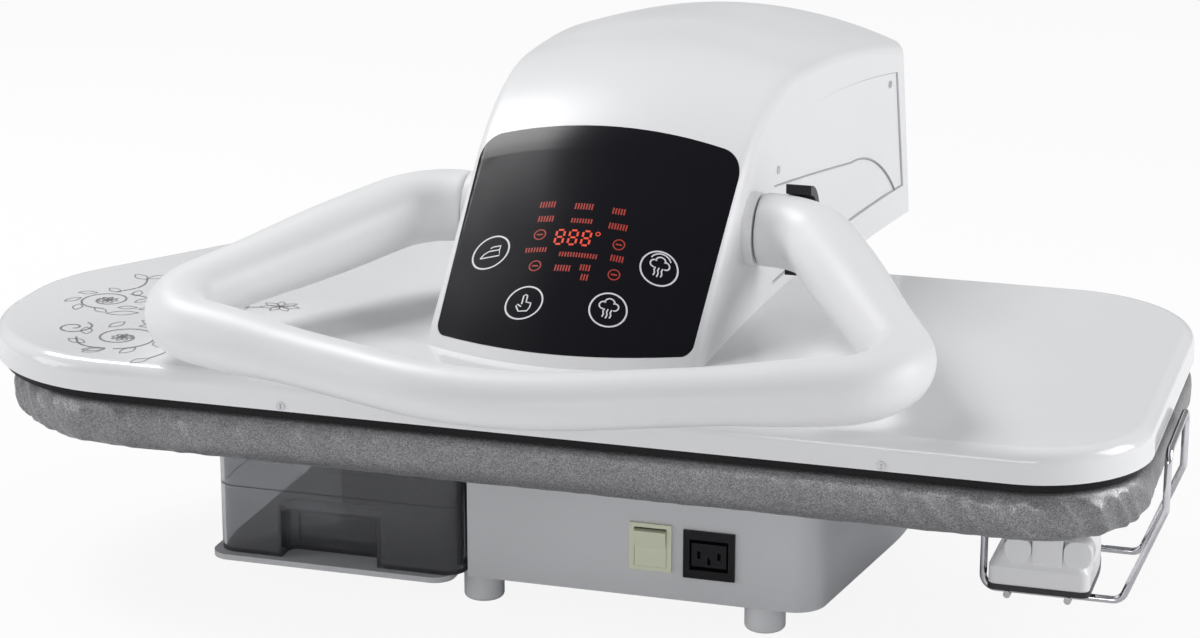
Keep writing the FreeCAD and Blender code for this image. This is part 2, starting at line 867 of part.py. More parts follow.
# Hood: the side profile turned about a line far below, trimmed to the flared plan and the skirt
def hood_profile(inset, rear_inset):
    """Closed outline in the YZ plane at mid width: panel, arch, rear fall and rear wall."""
    out = Vector(0, -math.sin(slope), math.cos(slope))
    foot = Vector(0, back(panel_foot), plate_top)
    top = foot + Vector(0, math.cos(slope), math.sin(slope)) * panel_length
    arch_centre = top - out * arch_radius
    crest = arch_centre + Vector(0, 0, arch_radius)
    half_lean = slope / 2
    arch_middle = arch_centre + Vector(0, -math.sin(half_lean), math.cos(half_lean)) * (arch_radius - inset)
    run = back(hood_rear) - crest.y
    fall_radius = (run ** 2 + hood_rear_fall ** 2) / (2 * hood_rear_fall)
    fall_centre = crest - Vector(0, 0, fall_radius)
    rear_y = back(hood_rear) - rear_inset

    def on_fall(y):
        height = math.sqrt((fall_radius - inset) ** 2 - (y - fall_centre.y) ** 2)
        return Vector(0, y, fall_centre.z + height)

    low = foot - Vector(0, math.cos(slope), math.sin(slope)) * panel_length
    panel_low = low - out * inset
    panel_top = top - out * inset
    crest_in = crest - Vector(0, 0, inset)
    rear_top = on_fall(rear_y)
    rake = math.tan(math.radians(hood_rake))
    rear_low = Vector(0, rear_y + (rear_top.z - panel_low.z) * rake, panel_low.z)
    return Part.Wire([
        Part.LineSegment(panel_low, panel_top).toShape(),
        Part.Arc(panel_top, arch_middle, crest_in).toShape(),
        Part.Arc(crest_in, on_fall((crest.y + rear_y) / 2), rear_top).toShape(),
        Part.LineSegment(rear_top, rear_low).toShape(),
        Part.LineSegment(rear_low, panel_low).toShape()]), crest


def hood_plan(inset):
    """Plan of the hood with its sides flaring to the rear, as a tall prism."""
    y0 = back(panel_foot) - 60.0
    y1 = back(hood_tail) + 40.0

    def side(sign):
        points = []
        for y, half in ((back(panel_foot), hood_half_front), (back(hood_middle), hood_half_middle),
                        (back(hood_tail), hood_half_tail)):
            points.append(Vector(sign * (half - inset), y, 0))
        return Part.Arc(*points)

    right = side(1)
    left = side(-1)
    corners = [right.StartPoint, Vector(right.StartPoint.x, y0, 0), Vector(left.StartPoint.x, y0, 0), left.StartPoint]
    rear = [left.EndPoint, Vector(left.EndPoint.x, y1, 0), Vector(right.EndPoint.x, y1, 0), right.EndPoint]
    edges = [right.toShape()]
    edges += [Part.LineSegment(a, b).toShape() for a, b in zip(corners, corners[1:])]
    edges += [left.toShape()]
    edges += [Part.LineSegment(a, b).toShape() for a, b in zip(rear, rear[1:])]
    return Part.Face(Part.Wire(Part.__sortEdges__(edges))).extrude(Vector(0, 0, reach))


def hood_solid(inset):
    """Hood as a full body, set in by a wall thickness on every outer face."""
    profile, crest = hood_profile(inset, inset)
    axis_point = crest - Vector(0, 0, crown_radius)
    spread = 45.0
    face = Part.Face(profile)
    face.rotate(axis_point, Vector(0, 1, 0), -spread)
    body = face.revolve(axis_point, Vector(0, 1, 0), 2 * spread)
    body = body.common(hood_plan(inset))
    lowest = rim_z - 60.0
    body = body.cut(box(-reach, reach, -reach, reach, -reach, lowest))
    shoulder = []
    for edge in body.Edges:
        middle = edge.valueAt((edge.FirstParameter + edge.LastParameter) / 2)
        high = middle.z > plate_top - 30.0 and abs(middle.x) > 40.0
        level = edge.BoundBox.YLength > 30.0
        if high and level:
            shoulder.append(edge)
    return body.makeFillet(shoulder_round - inset, shoulder)


hood_body = hood_solid(0.0)
hood_core = hood_solid(hood_wall)


def above_skirt():
    """Everything above the hood's lower edge: the plate in front, lower behind it."""
    low = plate_top - hood_skirt
    return box(-reach, reach, -reach, reach, plate_top, reach).fuse(
        box(-reach, reach, back(hood_step), reach, low, plate_top))


def window_prism(margin, x0, x1):
    """Side window of the hood: its upper edge runs below the arch at a steady band."""
    band = window_band - margin
    profile, crest = hood_profile(band, window_rear_band - margin)
    y0 = back(window_front) - margin
    z0 = plate_top + window_sill - margin
    face = Part.Face(profile)
    solid = face.extrude(Vector(x1 - x0, 0, 0))
    solid.translate(Vector(x0, 0, 0))
    return solid.common(box(-reach, reach, y0, reach, z0, reach))


def glass_window(margin):
    """Space of the control glass: level lower edge, square-on upper edge, sides that spread upwards."""
    top = back(glass_top) + margin
    low = plate_top + glass_sill - margin
    low_half = glass_half_low + margin
    top_half = glass_half_top + margin
    spread = top_half - low_half
    run = glass_top - panel_foot - 20.0
    plan = slab([
        (low_half - spread, top - 2 * run, 5.0), (top_half, top, 14.0),
        (-top_half, top, 14.0), (spread - low_half, top - 2 * run, 5.0)], plate_top - 50.0, plate_top + 300.0)
    front = slab([
        (low_half, low, 7.0), (low_half + 40.0, low + 300.0, 7.0),
        (-low_half - 40.0, low + 300.0, 7.0), (-low_half, low, 7.0)], -500.0, 500.0)
    front.rotate(Vector(0, 0, 0), Vector(1, 0, 0), 90)
    return plan.common(front)


def hub_axis(x, direction, radius, length):
    return rod(Vector(x, back(handle_y), handle_z), Vector(direction, 0, 0), radius, length)


hub_face = hood_half_middle + hub_boss


def make_hood():
    shell = hood_body.cut(hood_core).common(above_skirt())
    for side in (-1, 1):
        boss = hub_axis(side * (hood_half_front - 6.0), side, hub_radius, hub_face - hood_half_front + 6.0)
        shell = shell.fuse(boss.cut(hood_core))
    for x0 in (-reach, 0.0):
        shell = shell.cut(window_prism(glass_gap, x0, x0 + reach))
    shell = shell.cut(glass_window(glass_gap))
    shell = shell.cut(hub_axis(-reach, 1, handle_shaft_radius + collar_gap, 2 * reach))
    return shell.removeSplitter()


groove_front_z = 82.0
groove_z = 54.0
groove_turn = 480.0
groove_low = 604.0


def make_side_panel(side):
    x0 = 0.0 if side > 0 else -reach
    window = window_prism(0.0, x0, x0 + reach)
    outer = hood_solid_sides(panel_recess)
    inner = hood_solid_sides(panel_recess + panel_sheet)
    panel = window.common(outer.cut(inner))
    lower = hood_solid_sides(panel_recess).cut(hood_solid_sides(panel_recess + 0.8))
    start = Vector(0, back(groove_turn), plate_top + groove_z)
    end = Vector(0, back(groove_low), plate_top - 20.0)
    middle = Vector(0, back(groove_turn + 78.0), plate_top + groove_z - 24.0)
    front_top = Vector(0, back(window_front - 10.0), plate_top + groove_front_z)
    front_low = Vector(0, front_top.y, end.z)
    outline = Part.Wire([
        Part.LineSegment(front_top, start).toShape(),
        Part.Arc(start, middle, end).toShape(),
        Part.LineSegment(end, front_low).toShape(),
        Part.LineSegment(front_low, front_top).toShape()])
    pocket = Part.Face(outline).extrude(Vector(reach, 0, 0))
    pocket.translate(Vector(x0, 0, 0))
    return panel.cut(pocket.common(lower))


def hood_solid_sides(inset):
    """Prism of the flared plan alone, for what lies along the hood's sides."""
    return hood_plan(inset)


def make_hood_screws():
    screws = []
    for side in (-1, 1):
        for y, z in ((hood_rear - 24.0, 98.0), (window_front + 14.0, groove_front_z + 8.0)):
            pin = rod(Vector(0, back(y), plate_top + z), Vector(side, 0, 0), 3.0, reach)
            screws.append(pin.common(hood_plan(panel_recess - 0.8)).cut(hood_plan(panel_recess)))
    return Part.makeCompound(screws)


def panel_place(shape):
    """Lay a piece that was drawn flat, with x across and y up the slope, behind the control panel."""
    shape.rotate(Vector(0, 0, 0), Vector(1, 0, 0), panel_angle)
    shape.translate(Vector(0, back(panel_foot), plate_top))
    return shape


display_half = 52.0
display_low = 62.0
display_high = 112.0
display_thickness = 11.0
circuit_half = 75.0
circuit_low = 30.0
circuit_high = 128.0
circuit_sheet = 1.6


def make_control_glass():
    back_face = hood_solid(glass_thickness)
    return hood_body.cut(back_face).common(glass_window(0.0))


def make_panel_carrier():
    front_face = hood_solid(glass_thickness)
    rear_face = hood_solid(glass_thickness + carrier_sheet)
    sheet = front_face.cut(rear_face).common(glass_window(-1.0))
    opening = panel_place(box(-display_half - 2.0, display_half + 2.0, display_low - 2.0, display_high + 2.0, -60.0, 60.0))
    carrier = sheet.cut(opening)
    for x in (-circuit_half + 6.0, circuit_half - 6.0):
        for y in (circuit_low + 6.0, circuit_high - 6.0):
            post = panel_place(Part.makeCylinder(3.5, board_depth, Vector(x, y, -board_depth)))
            carrier = carrier.fuse(post.common(front_face))
    return carrier.removeSplitter()


def make_control_board():
    sheet = box(-circuit_half, circuit_half, circuit_low, circuit_high, -board_depth - circuit_sheet, -board_depth)
    return panel_place(sheet)


def make_display_module():
    case = box(-display_half, display_half, display_low, display_high, -board_depth, -board_depth + display_thickness)
    return panel_place(case)


# Handle: a tube round a flat loop that tapers along its arms; places as (x, distance in front of the hubs)
arm_corner = (144.7, 0.0)
front_corner = (269.6, 220.0)
front_middle = (0.0, 300.0)
arm_bend = 50.0
front_bend = 44.0
middle_bend = 233.0
taper_start = 60.0
elbow_run = 58.0
grip_taper = 95.0


def handle_point(x, ahead):
    dip = math.radians(handle_dip)
    return Vector(x, back(handle_y) - ahead * math.cos(dip), handle_z - ahead * math.sin(dip))


def tapered_rod(start, end, first, last):
    """Round rod that eases from one radius to another."""
    length = (end - start).Length
    side = Part.BezierCurve()
    side.setPoles([
        Vector(first, 0, 0), Vector(first, 0, length / 2),
        Vector(last, 0, length / 2), Vector(last, 0, length)])
    corners = [Vector(last, 0, length), Vector(0, 0, length), Vector(0, 0, 0), Vector(first, 0, 0)]
    edges = [side.toShape()]
    edges += [Part.LineSegment(a, b).toShape() for a, b in zip(corners, corners[1:])]
    solid = Part.Face(Part.Wire(edges)).revolve(Vector(0, 0, 0), Vector(0, 0, 1), 360)
    solid.Placement = FreeCAD.Placement(start, FreeCAD.Rotation(Vector(0, 0, 1), end - start))
    return solid


def make_handle_grip():
    pieces = []
    thin_ends = []
    middle = handle_point(*front_middle)
    for side in (1, -1):
        hub = handle_point(side * (hub_face + hub_gap), 0.0)
        inner = handle_point(side * arm_corner[0], arm_corner[1])
        outer = handle_point(side * front_corner[0], front_corner[1])
        thick_end = inner + unit(inner, outer) * taper_start
        elbow_start = outer - unit(inner, outer) * elbow_run
        elbow_end = outer + unit(outer, middle) * elbow_run
        thin_end = elbow_end + unit(outer, middle) * grip_taper
        pieces.append(bent_tube([hub, inner, thick_end], [arm_bend], hub_radius))
        pieces.append(tapered_rod(thick_end, elbow_start, hub_radius, elbow_radius))
        pieces.append(bent_tube([elbow_start, outer, elbow_end], [front_bend], elbow_radius))
        pieces.append(tapered_rod(elbow_end, thin_end, elbow_radius, grip_radius))
        thin_ends.append(thin_end)
    grip = bent_tube([thin_ends[0], middle, thin_ends[1]], [middle_bend], grip_radius)
    for piece in pieces:
        grip = grip.fuse(piece)
    return grip.removeSplitter().cut(make_handle_shaft())


def make_handle_shaft():
    return hub_axis(-hub_face - 14.0, 1, handle_shaft_radius, 2 * hub_face + 28.0)


clip_near = 124.0
clip_width = 18.0


def make_handle_clip():
    ring = hub_axis(clip_near, 1, hub_radius + 7.0, clip_width)
    ring = ring.cut(hub_axis(clip_near, 1, hub_radius + 0.2, clip_width))
    behind = box(-reach, reach, back(handle_y) + 4.0, reach, -reach, reach)
    return ring.common(behind).cut(make_handle_grip())


def make_pressure_cam():
    disc = hub_axis(-8.0, 1, 22.0, 16.0)
    return disc.cut(hub_axis(-8.0, 1, handle_shaft_radius, 16.0))


# Hand iron on its wire rest, heel to the front
def iron_plan(inset, heel_inset):
    heel = back(iron_heel) + heel_inset
    half = iron_half_width - inset
    nose = back(iron_heel + iron_length) - inset
    return [
        (iron_x + half, heel, 6.0),
        (iron_x + half, heel + 0.45 * iron_length, 160.0),
        (iron_x + 7.0, nose, 7.0),
        (iron_x - 7.0, nose, 7.0),
        (iron_x - half, heel + 0.45 * iron_length, 160.0),
        (iron_x - half, heel, 6.0),
    ]


iron_sole = 4.0
iron_skirt = 12.0
iron_body_height = 26.0
iron_top = 58.0
iron_grip_half = 13.0
iron_grip_heel = 8.0
iron_grip_length = 100.0
iron_grip_bar = 12.0
iron_rear_post = 20.0
iron_front_post = 18.0
iron_filler_half = 11.0
iron_filler_length = 17.0
iron_filler_height = 9.0


def make_iron_soleplate():
    return slab(iron_plan(0, 0), iron_z, iron_z + iron_sole)


def make_iron_body():
    z0 = iron_z + iron_sole
    wires = [
        rounded_wire(iron_plan(0.5, 0.5), z0),
        rounded_wire(iron_plan(0.5, 0.5), z0 + iron_skirt),
        rounded_wire(iron_plan(9.0, 6.0), z0 + iron_body_height)]
    return Part.makeLoft(wires, True, True)


def make_iron_handle():
    z0 = iron_z + iron_sole + iron_body_height
    z1 = iron_z + iron_top
    y0 = back(iron_heel + iron_grip_heel)
    y1 = y0 + iron_grip_length
    outer = box(iron_x - iron_grip_half, iron_x + iron_grip_half, y0, y1, z0, z1)
    gap = box(-reach, reach, y0 + iron_rear_post, y1 - iron_front_post, z0, z1 - iron_grip_bar)
    return outer.cut(gap).removeSplitter()


def make_iron_window():
    z0 = iron_z + iron_sole + iron_body_height
    y0 = back(iron_heel + iron_grip_heel) + iron_grip_length + 1.0
    return block(iron_x - iron_filler_half, iron_x + iron_filler_half, y0, y0 + iron_filler_length,
                 z0, z0 + iron_filler_height, 5.0)


rest_left = 293.0
rest_right = 411.0
rest_low_right = 385.0
rest_front = 112.0
rest_back = 205.0
rest_shoulder = 104.0
rest_top = 144.0
rail_half = 20.0
wire_bend = 9.0


def make_iron_rest():
    front = back(rest_front)
    rear = back(rest_back)
    hoop = bent_tube([
        Vector(rest_left, front, tray_top - tray_sheet), Vector(rest_left, front, rest_floor),
        Vector(rest_low_right, front, rest_floor), Vector(rest_right, front, rest_shoulder),
        Vector(rest_right, front, rest_top), Vector(rest_right, rear, rest_top),
        Vector(rest_right, rear, rest_shoulder), Vector(rest_low_right, rear, rest_floor),
        Vector(rest_left, rear, rest_floor), Vector(rest_left, rear, tray_top - tray_sheet)],
        [wire_bend] * 8, rest_wire)
    stop_y = back(iron_heel + iron_length) + 8.0
    left = iron_x - rail_half
    right = iron_x + rail_half
    rails = bent_tube([
        Vector(left, back(iron_heel), rest_rail_z), Vector(left, stop_y, rest_rail_z),
        Vector(left, stop_y, rest_rail_z + 34.0), Vector(right, stop_y, rest_rail_z + 34.0),
        Vector(right, stop_y, rest_rail_z), Vector(right, back(iron_heel), rest_rail_z)],
        [wire_bend] * 4, rest_wire)
    return Part.makeCompound([hoop, rails])


save("base_housing", make_base_housing())
save("base_bottom_plate", make_bottom_plate())
save("front_feet", make_feet(front_foot_x, back(base_front + foot_inset)))
save("rear_feet", make_feet(rear_foot_x, back(base_rear - rear_foot_inset)))
save("base_screws", make_base_screws())
save("tank_tray", make_tank_tray())
save("board_support", make_board_support())
save("board_tray", make_board_tray())
save("board_foam", make_board_foam())
save("board_cover", make_board_cover())
save("hinge_bracket_left", make_hinge_bracket(-1))
save("hinge_bracket_right", make_hinge_bracket(1))
save("hinge_shaft", make_hinge_shaft())
save("tower_shroud", make_tower_shroud())
save("lift_springs", make_lift_springs())
save("water_union", make_water_union())
save("tank_dock", make_tank_dock())
save("water_pump", make_water_pump())
save("pump_inlet_hose", make_pump_inlet_hose())
save("pump_outlet_hose", make_pump_outlet_hose())
save("switch_bezel", make_switch_bezel())
save("power_rocker", make_power_rocker())
save("iron_outlet", make_iron_outlet())
save("outlet_contacts", make_outlet_contacts())
save("cord_gland", make_cord_gland())
save("water_tank", make_water_tank())
save("tank_lid", make_tank_lid())
save("tank_valve", make_tank_valve())
save("tank_cap", make_tank_cap())
save("plate_shell", make_plate_shell())
save("heater_plate", make_heater_plate())
save("heating_element", make_heating_element())
save("steam_chamber", make_steam_chamber())
save("thermostat", make_thermostat())
save("thermal_fuse", make_thermal_fuse())
save("rim_screws", Part.makeCompound(rim_screw_solids()))
save("lever_arm_left", make_lever_arm(-1))
save("lever_arm_right", make_lever_arm(1))
save("arm_bushes", make_arm_bushes())
save("crossbar", make_crossbar())
save("plate_bolts", make_plate_bolts())
save("steam_hose", make_steam_hose())
save("hood", make_hood())
save("side_panel_left", make_side_panel(-1))
save("side_panel_right", make_side_panel(1))
save("hood_screws", make_hood_screws())
save("control_glass", make_control_glass())
save("panel_carrier", make_panel_carrier())
save("display_module", make_display_module())
save("control_board", make_control_board())
save("handle_grip", make_handle_grip())
save("handle_shaft", make_handle_shaft())
save("handle_clip", make_handle_clip())
save("pressure_cam", make_pressure_cam())
save("iron_soleplate", make_iron_soleplate())
save("iron_body", make_iron_body())
save("iron_handle", make_iron_handle())
save("iron_window", make_iron_window())
save("iron_rest", make_iron_rest())
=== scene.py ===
import math

import bmesh
import bpy
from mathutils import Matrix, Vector, noise
from mathutils.bvhtree import BVHTree


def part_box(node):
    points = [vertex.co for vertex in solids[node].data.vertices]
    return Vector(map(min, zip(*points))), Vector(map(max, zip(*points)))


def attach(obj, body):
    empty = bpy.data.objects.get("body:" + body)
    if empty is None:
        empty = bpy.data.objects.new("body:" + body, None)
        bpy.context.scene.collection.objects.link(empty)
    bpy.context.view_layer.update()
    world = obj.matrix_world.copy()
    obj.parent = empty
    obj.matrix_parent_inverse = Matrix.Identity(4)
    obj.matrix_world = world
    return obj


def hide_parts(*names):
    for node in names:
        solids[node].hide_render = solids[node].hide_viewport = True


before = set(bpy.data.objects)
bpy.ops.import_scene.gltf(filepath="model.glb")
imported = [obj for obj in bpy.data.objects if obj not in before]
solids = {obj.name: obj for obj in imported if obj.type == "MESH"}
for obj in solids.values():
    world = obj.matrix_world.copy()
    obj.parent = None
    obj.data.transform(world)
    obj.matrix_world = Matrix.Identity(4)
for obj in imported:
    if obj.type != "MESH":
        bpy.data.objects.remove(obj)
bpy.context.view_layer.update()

# Studio: a seamless pale table under soft boxes overhead and to the right, with weak fill from
# the left and the front. The camera stands to the right and looks down, as in the photograph.
camera_place = Vector((0.6293, -2.1261, 0.8212))
camera_fall = 16.82
camera_swing = 17.0
camera_lens = 95.19
camera_range = 60.0
table_reach = 14.0
table_tone = (0.86, 0.86, 0.87, 1.0)
table_glow = 0.9
air_tone = (0.97, 0.98, 1.0, 1.0)
air_fill = 0.30
soft_boxes = (
    # name, place, aim, size, watts
    ("overhead_box", (-1.4, 0.4, 2.1), (0.0, 0.0, 0.2), (1.0, 1.1), 38.0),
    ("right_box", (2.2, 0.2, 1.1), (0.1, 0.0, 0.25), (1.2, 1.4), 31.0),
    ("left_box", (-2.1, -1.2, 0.7), (-0.1, 0.0, 0.2), (1.0, 1.0), 9.0),
    ("front_box", (0.3, -3.0, 0.5), (0.0, -0.2, 0.1), (1.6, 0.6), 13.0),
)


def bring_in(name, data):
    """A new object of this data, in the scene."""
    thing = bpy.data.objects.new(name, data)
    bpy.context.scene.collection.objects.link(thing)
    return thing


def feed(tree, node, sockets):
    """Give each input of a node its plain value, or link it to the output that feeds it."""
    for socket, source in sockets.items():
        if isinstance(source, bpy.types.NodeSocket):
            tree.links.new(source, node.inputs[socket])
        else:
            node.inputs[socket].default_value = source


def add_node(tree, kind, sockets=None):
    node = tree.nodes.new(kind)
    feed(tree, node, sockets or {})
    return node


def seen_directly(tree):
    """1 for rays that see the backdrop straight or through glass, else 0."""
    rays = add_node(tree, "ShaderNodeLightPath").outputs
    larger = add_node(tree, "ShaderNodeMath", {
        0: rays["Is Camera Ray"], 1: rays["Is Transmission Ray"]})
    larger.operation = "MAXIMUM"
    return larger.outputs[0]


def light_the_air():
    world = bpy.data.worlds.new("studio_air")
    bpy.context.scene.world = world
    world.use_nodes = True
    tree = world.node_tree
    fill = tree.nodes["Background"]
    feed(tree, fill, {"Color": air_tone, "Strength": air_fill})
    white = add_node(tree, "ShaderNodeBackground")
    choice = add_node(tree, "ShaderNodeMixShader", {
        0: seen_directly(tree), 1: fill.outputs[0], 2: white.outputs[0]})
    feed(tree, tree.nodes["World Output"], {"Surface": choice.outputs[0]})


def lay_table():
    bpy.ops.mesh.primitive_plane_add(size=table_reach)
    table = bpy.context.object
    table.name = "table"
    finish = bpy.data.materials.new("table_paper")
    finish.use_nodes = True
    tree = finish.node_tree
    tree.nodes.remove(tree.nodes["Principled BSDF"])
    paper = add_node(tree, "ShaderNodeBsdfDiffuse", {"Color": table_tone})
    glow = add_node(tree, "ShaderNodeEmission")
    share = add_node(tree, "ShaderNodeMath", {0: seen_directly(tree), 1: table_glow})
    share.operation = "MULTIPLY"
    blend = add_node(tree, "ShaderNodeMixShader", {
        0: share.outputs[0], 1: paper.outputs[0], 2: glow.outputs[0]})
    feed(tree, tree.nodes["Material Output"], {"Surface": blend.outputs[0]})
    table.data.materials.append(finish)


def hang_soft_box(name, place, aim, size, watts):
    lamp = bpy.data.lights.new(name, "AREA")
    lamp.shape = "RECTANGLE"
    lamp.size, lamp.size_y = size
    lamp.energy = watts
    stand = bring_in(name, lamp)
    stand.location = place
    stand.rotation_euler = (Vector(aim) - Vector(place)).to_track_quat("-Z", "Y").to_euler()


def set_camera():
    optics = bpy.data.cameras.new("studio_camera")
    optics.lens = camera_lens
    optics.clip_end = camera_range
    camera = bring_in("studio_camera", optics)
    camera.location = camera_place
    camera.rotation_euler = (math.radians(90.0 - camera_fall), 0.0, math.radians(camera_swing))
    bpy.context.scene.camera = camera


light_the_air()
lay_table()
for soft_box in soft_boxes:
    hang_soft_box(*soft_box)
set_camera()
bpy.context.scene.view_settings.view_transform = "Standard"


# Base housing: a light grey injection moulding, open below and closed by a zinc-plated sheet.
# Its skin has the fine spark texture of the tool, a faint flow mottle and a soft satin gloss.
# It stands on four round feet of pale rubber.
mm = 0.001
housing_grey = (0.60, 0.605, 0.62)
zinc_grey = (0.52, 0.53, 0.55)
foot_grey = (0.78, 0.785, 0.80)
flow_scale = 7.0
wander_scale = 12.0
grain_strength = 0.12


def begin_finish(name):
    """New node material: its tree, its shader and the piece's own coordinates."""
    finish = bpy.data.materials.new(name)
    finish.use_nodes = True
    tree = finish.node_tree
    place = add_node(tree, "ShaderNodeTexCoord").outputs["Object"]
    return finish, tree, tree.nodes["Principled BSDF"], place


def mottle(tree, place, scale, detail):
    cloud = add_node(tree, "ShaderNodeTexNoise", {
        "Vector": place, "Scale": scale, "Detail": detail, "Roughness": 0.55})
    return cloud.outputs["Fac"]


def shade_between(tree, amount, dark, light, low=0.3, high=0.7):
    ramp = add_node(tree, "ShaderNodeValToRGB", {"Fac": amount})
    for stop, position, tone in zip(ramp.color_ramp.elements, (low, high), (dark, light)):
        stop.position = position
        stop.color = (*tone, 1.0)
    return ramp.outputs["Color"]


def spread(tree, amount, low, high, start=0.3, end=0.7):
    span = add_node(tree, "ShaderNodeMapRange", {
        "Value": amount, "From Min": start, "From Max": end, "To Min": low, "To Max": high})
    return span.outputs["Result"]


def raise_grain(tree, shader, height, strength, depth):
    bump = add_node(tree, "ShaderNodeBump", {
        "Height": height, "Strength": strength, "Distance": depth * mm})
    feed(tree, shader, {"Normal": bump.outputs["Normal"]})


def tinted(colour, factor):
    return tuple(min(1.0, channel * factor) for channel in colour)


def moulded_finish(name, colour, gloss, grain=None, variation=0.04, shine=0.5):
    """Plastic moulding: faint flow mottle and gloss that wanders a little. A grained skin
    gives the grain's scale and its depth in millimetres."""
    finish, tree, shader, place = begin_finish(name)
    dark, light = tinted(colour, 1.0 - variation), tinted(colour, 1.0 + variation)
    flow = mottle(tree, place, flow_scale, 1.0)
    wander = mottle(tree, place, wander_scale, 1.0)
    feed(tree, shader, {
        "Base Color": shade_between(tree, flow, dark, light),
        "Roughness": spread(tree, wander, gloss * 0.9, gloss * 1.15),
        "Specular IOR Level": shine,
    })
    if grain:
        scale, depth = grain
        raise_grain(tree, shader, mottle(tree, place, scale, 2.0), grain_strength, depth)
    return finish


def rolled_finish(name, colour, gloss, stretch):
    """Metal with fine lines along one axis, a mottled tone and streaky gloss."""
    finish, tree, shader, place = begin_finish(name)
    lines = add_node(tree, "ShaderNodeMapping", {"Vector": place, "Scale": stretch})
    streak = mottle(tree, lines.outputs["Vector"], 1.0, 5.0)
    feed(tree, shader, {
        "Base Color": shade_between(tree, streak, tinted(colour, 0.86), tinted(colour, 1.1)),
        "Roughness": spread(tree, streak, gloss * 0.75, gloss * 1.35),
        "Metallic": 1.0,
    })
    raise_grain(tree, shader, streak, 0.2, 0.05)
    return finish


def dress(finish, *names):
    for name in names:
        mesh = solids[name].data
        mesh.materials.clear()
        mesh.materials.append(finish)


housing_skin = moulded_finish("housing_skin", housing_grey, 0.42, (900.0, 0.08))
zinc_sheet = rolled_finish("zinc_sheet", zinc_grey, 0.38, (30.0, 900.0, 900.0))
foot_rubber = moulded_finish("foot_rubber", foot_grey, 0.6, (700.0, 0.1))
dress(housing_skin, "base_housing", "tank_tray", "tower_shroud")
dress(foot_rubber, "front_feet", "rear_feet")
dress(zinc_sheet, "base_bottom_plate")


# Screws: small cross-recess heads, turned and pressed in bright zinced steel.
# One tree sets a head at each place, square to the sheet that it holds.
screw_grey = (0.62, 0.62, 0.64)
screw_steel = rolled_finish("screw_steel", screw_grey, 0.24, (700.0, 700.0, 60.0))
slot_share = 0.3
base_head_radius = 4.6 * mm
base_head_height = 1.4 * mm
base_head_inset = 4.0 * mm
base_head_sink = 0.2 * mm


def begin_tree(name, start, result, sizes):
    """A tree from one geometry to another, with its sizes and its finish as named inputs."""
    tree = bpy.data.node_groups.new(name, "GeometryNodeTree")
    add_socket = tree.interface.new_socket
    add_socket(start, in_out="INPUT", socket_type="NodeSocketGeometry")
    for size in sizes:
        add_socket(size, in_out="INPUT", socket_type="NodeSocketFloat")
    add_socket("Finish", in_out="INPUT", socket_type="NodeSocketMaterial")
    add_socket(result, in_out="OUTPUT", socket_type="NodeSocketGeometry")
    return tree, add_node(tree, "NodeGroupInput").outputs


def end_tree(tree, entry, made):
    """Make instances real, set the finish and hand the geometry out."""
    real = add_node(tree, "GeometryNodeRealizeInstances", {"Geometry": made.outputs[0]})
    paint = add_node(tree, "GeometryNodeSetMaterial", {
        "Geometry": real.outputs[0], "Material": entry["Finish"]})
    add_node(tree, "NodeGroupOutput", {0: paint.outputs[0]})


def seat_along(tree, points, shape, direction):
    """A copy of the shape at each point, with its z axis along the direction."""
    turn = add_node(tree, "FunctionNodeAlignRotationToVector", {"Vector": direction})
    turn.axis = "Z"
    return add_node(tree, "GeometryNodeInstanceOnPoints", {
        "Points": points, "Instance": shape, "Rotation": turn.outputs["Rotation"]})


def cross_head_tree():
    """A flattened ball with a cross cut in its top, at each place and along its aim."""
    tree, entry = begin_tree("cross_head_screws", "Places", "Screws",
                             ("Head Radius", "Head Height", "Slot Width"))
    radius, height, slot = entry["Head Radius"], entry["Head Height"], entry["Slot Width"]
    ball = add_node(tree, "GeometryNodeMeshUVSphere", {
        "Segments": 24, "Rings": 12, "Radius": radius})
    ratio = add_node(tree, "ShaderNodeMath", {0: height, 1: radius})
    ratio.operation = "DIVIDE"
    squeeze = add_node(tree, "ShaderNodeCombineXYZ", {"X": 1.0, "Y": 1.0, "Z": ratio.outputs[0]})
    dome = add_node(tree, "GeometryNodeTransform", {
        "Geometry": ball.outputs["Mesh"], "Scale": squeeze.outputs[0]})
    cut = add_node(tree, "GeometryNodeMeshBoolean")
    cut.operation = "DIFFERENCE"
    feed(tree, cut, {"Mesh 1": dome.outputs[0]})
    rise = add_node(tree, "ShaderNodeCombineXYZ", {"Z": height})
    for long_side, short_side in (("X", "Y"), ("Y", "X")):
        size = add_node(tree, "ShaderNodeCombineXYZ", {
            long_side: radius, short_side: slot, "Z": height})
        bar = add_node(tree, "GeometryNodeMeshCube", {"Size": size.outputs[0]})
        raised = add_node(tree, "GeometryNodeTransform", {
            "Geometry": bar.outputs["Mesh"], "Translation": rise.outputs[0]})
        feed(tree, cut, {"Mesh 2": raised.outputs[0]})
    aim = add_node(tree, "GeometryNodeInputNamedAttribute", {"Name": "aim"})
    aim.data_type = "FLOAT_VECTOR"
    heads = seat_along(tree, entry["Places"], cut.outputs["Mesh"], aim.outputs["Attribute"])
    end_tree(tree, entry, heads)
    return tree


def grow(name, tree, mesh, settings):
    """Run a node tree over a mesh and keep the result as a plain mesh piece."""
    seed = bring_in(name + "_seed", mesh)
    run = seed.modifiers.new("grow", "NODES")
    run.node_group = tree
    for item in tree.interface.items_tree:
        if item.in_out == "INPUT" and item.name in settings:
            run[item.identifier] = settings[item.name]
    settled = seed.evaluated_get(bpy.context.evaluated_depsgraph_get())
    made = bpy.data.meshes.new_from_object(settled)
    seed.modifiers.remove(run)
    bpy.data.objects.remove(seed)
    made.name = name
    return bring_in(name, made)


screw_tree = cross_head_tree()


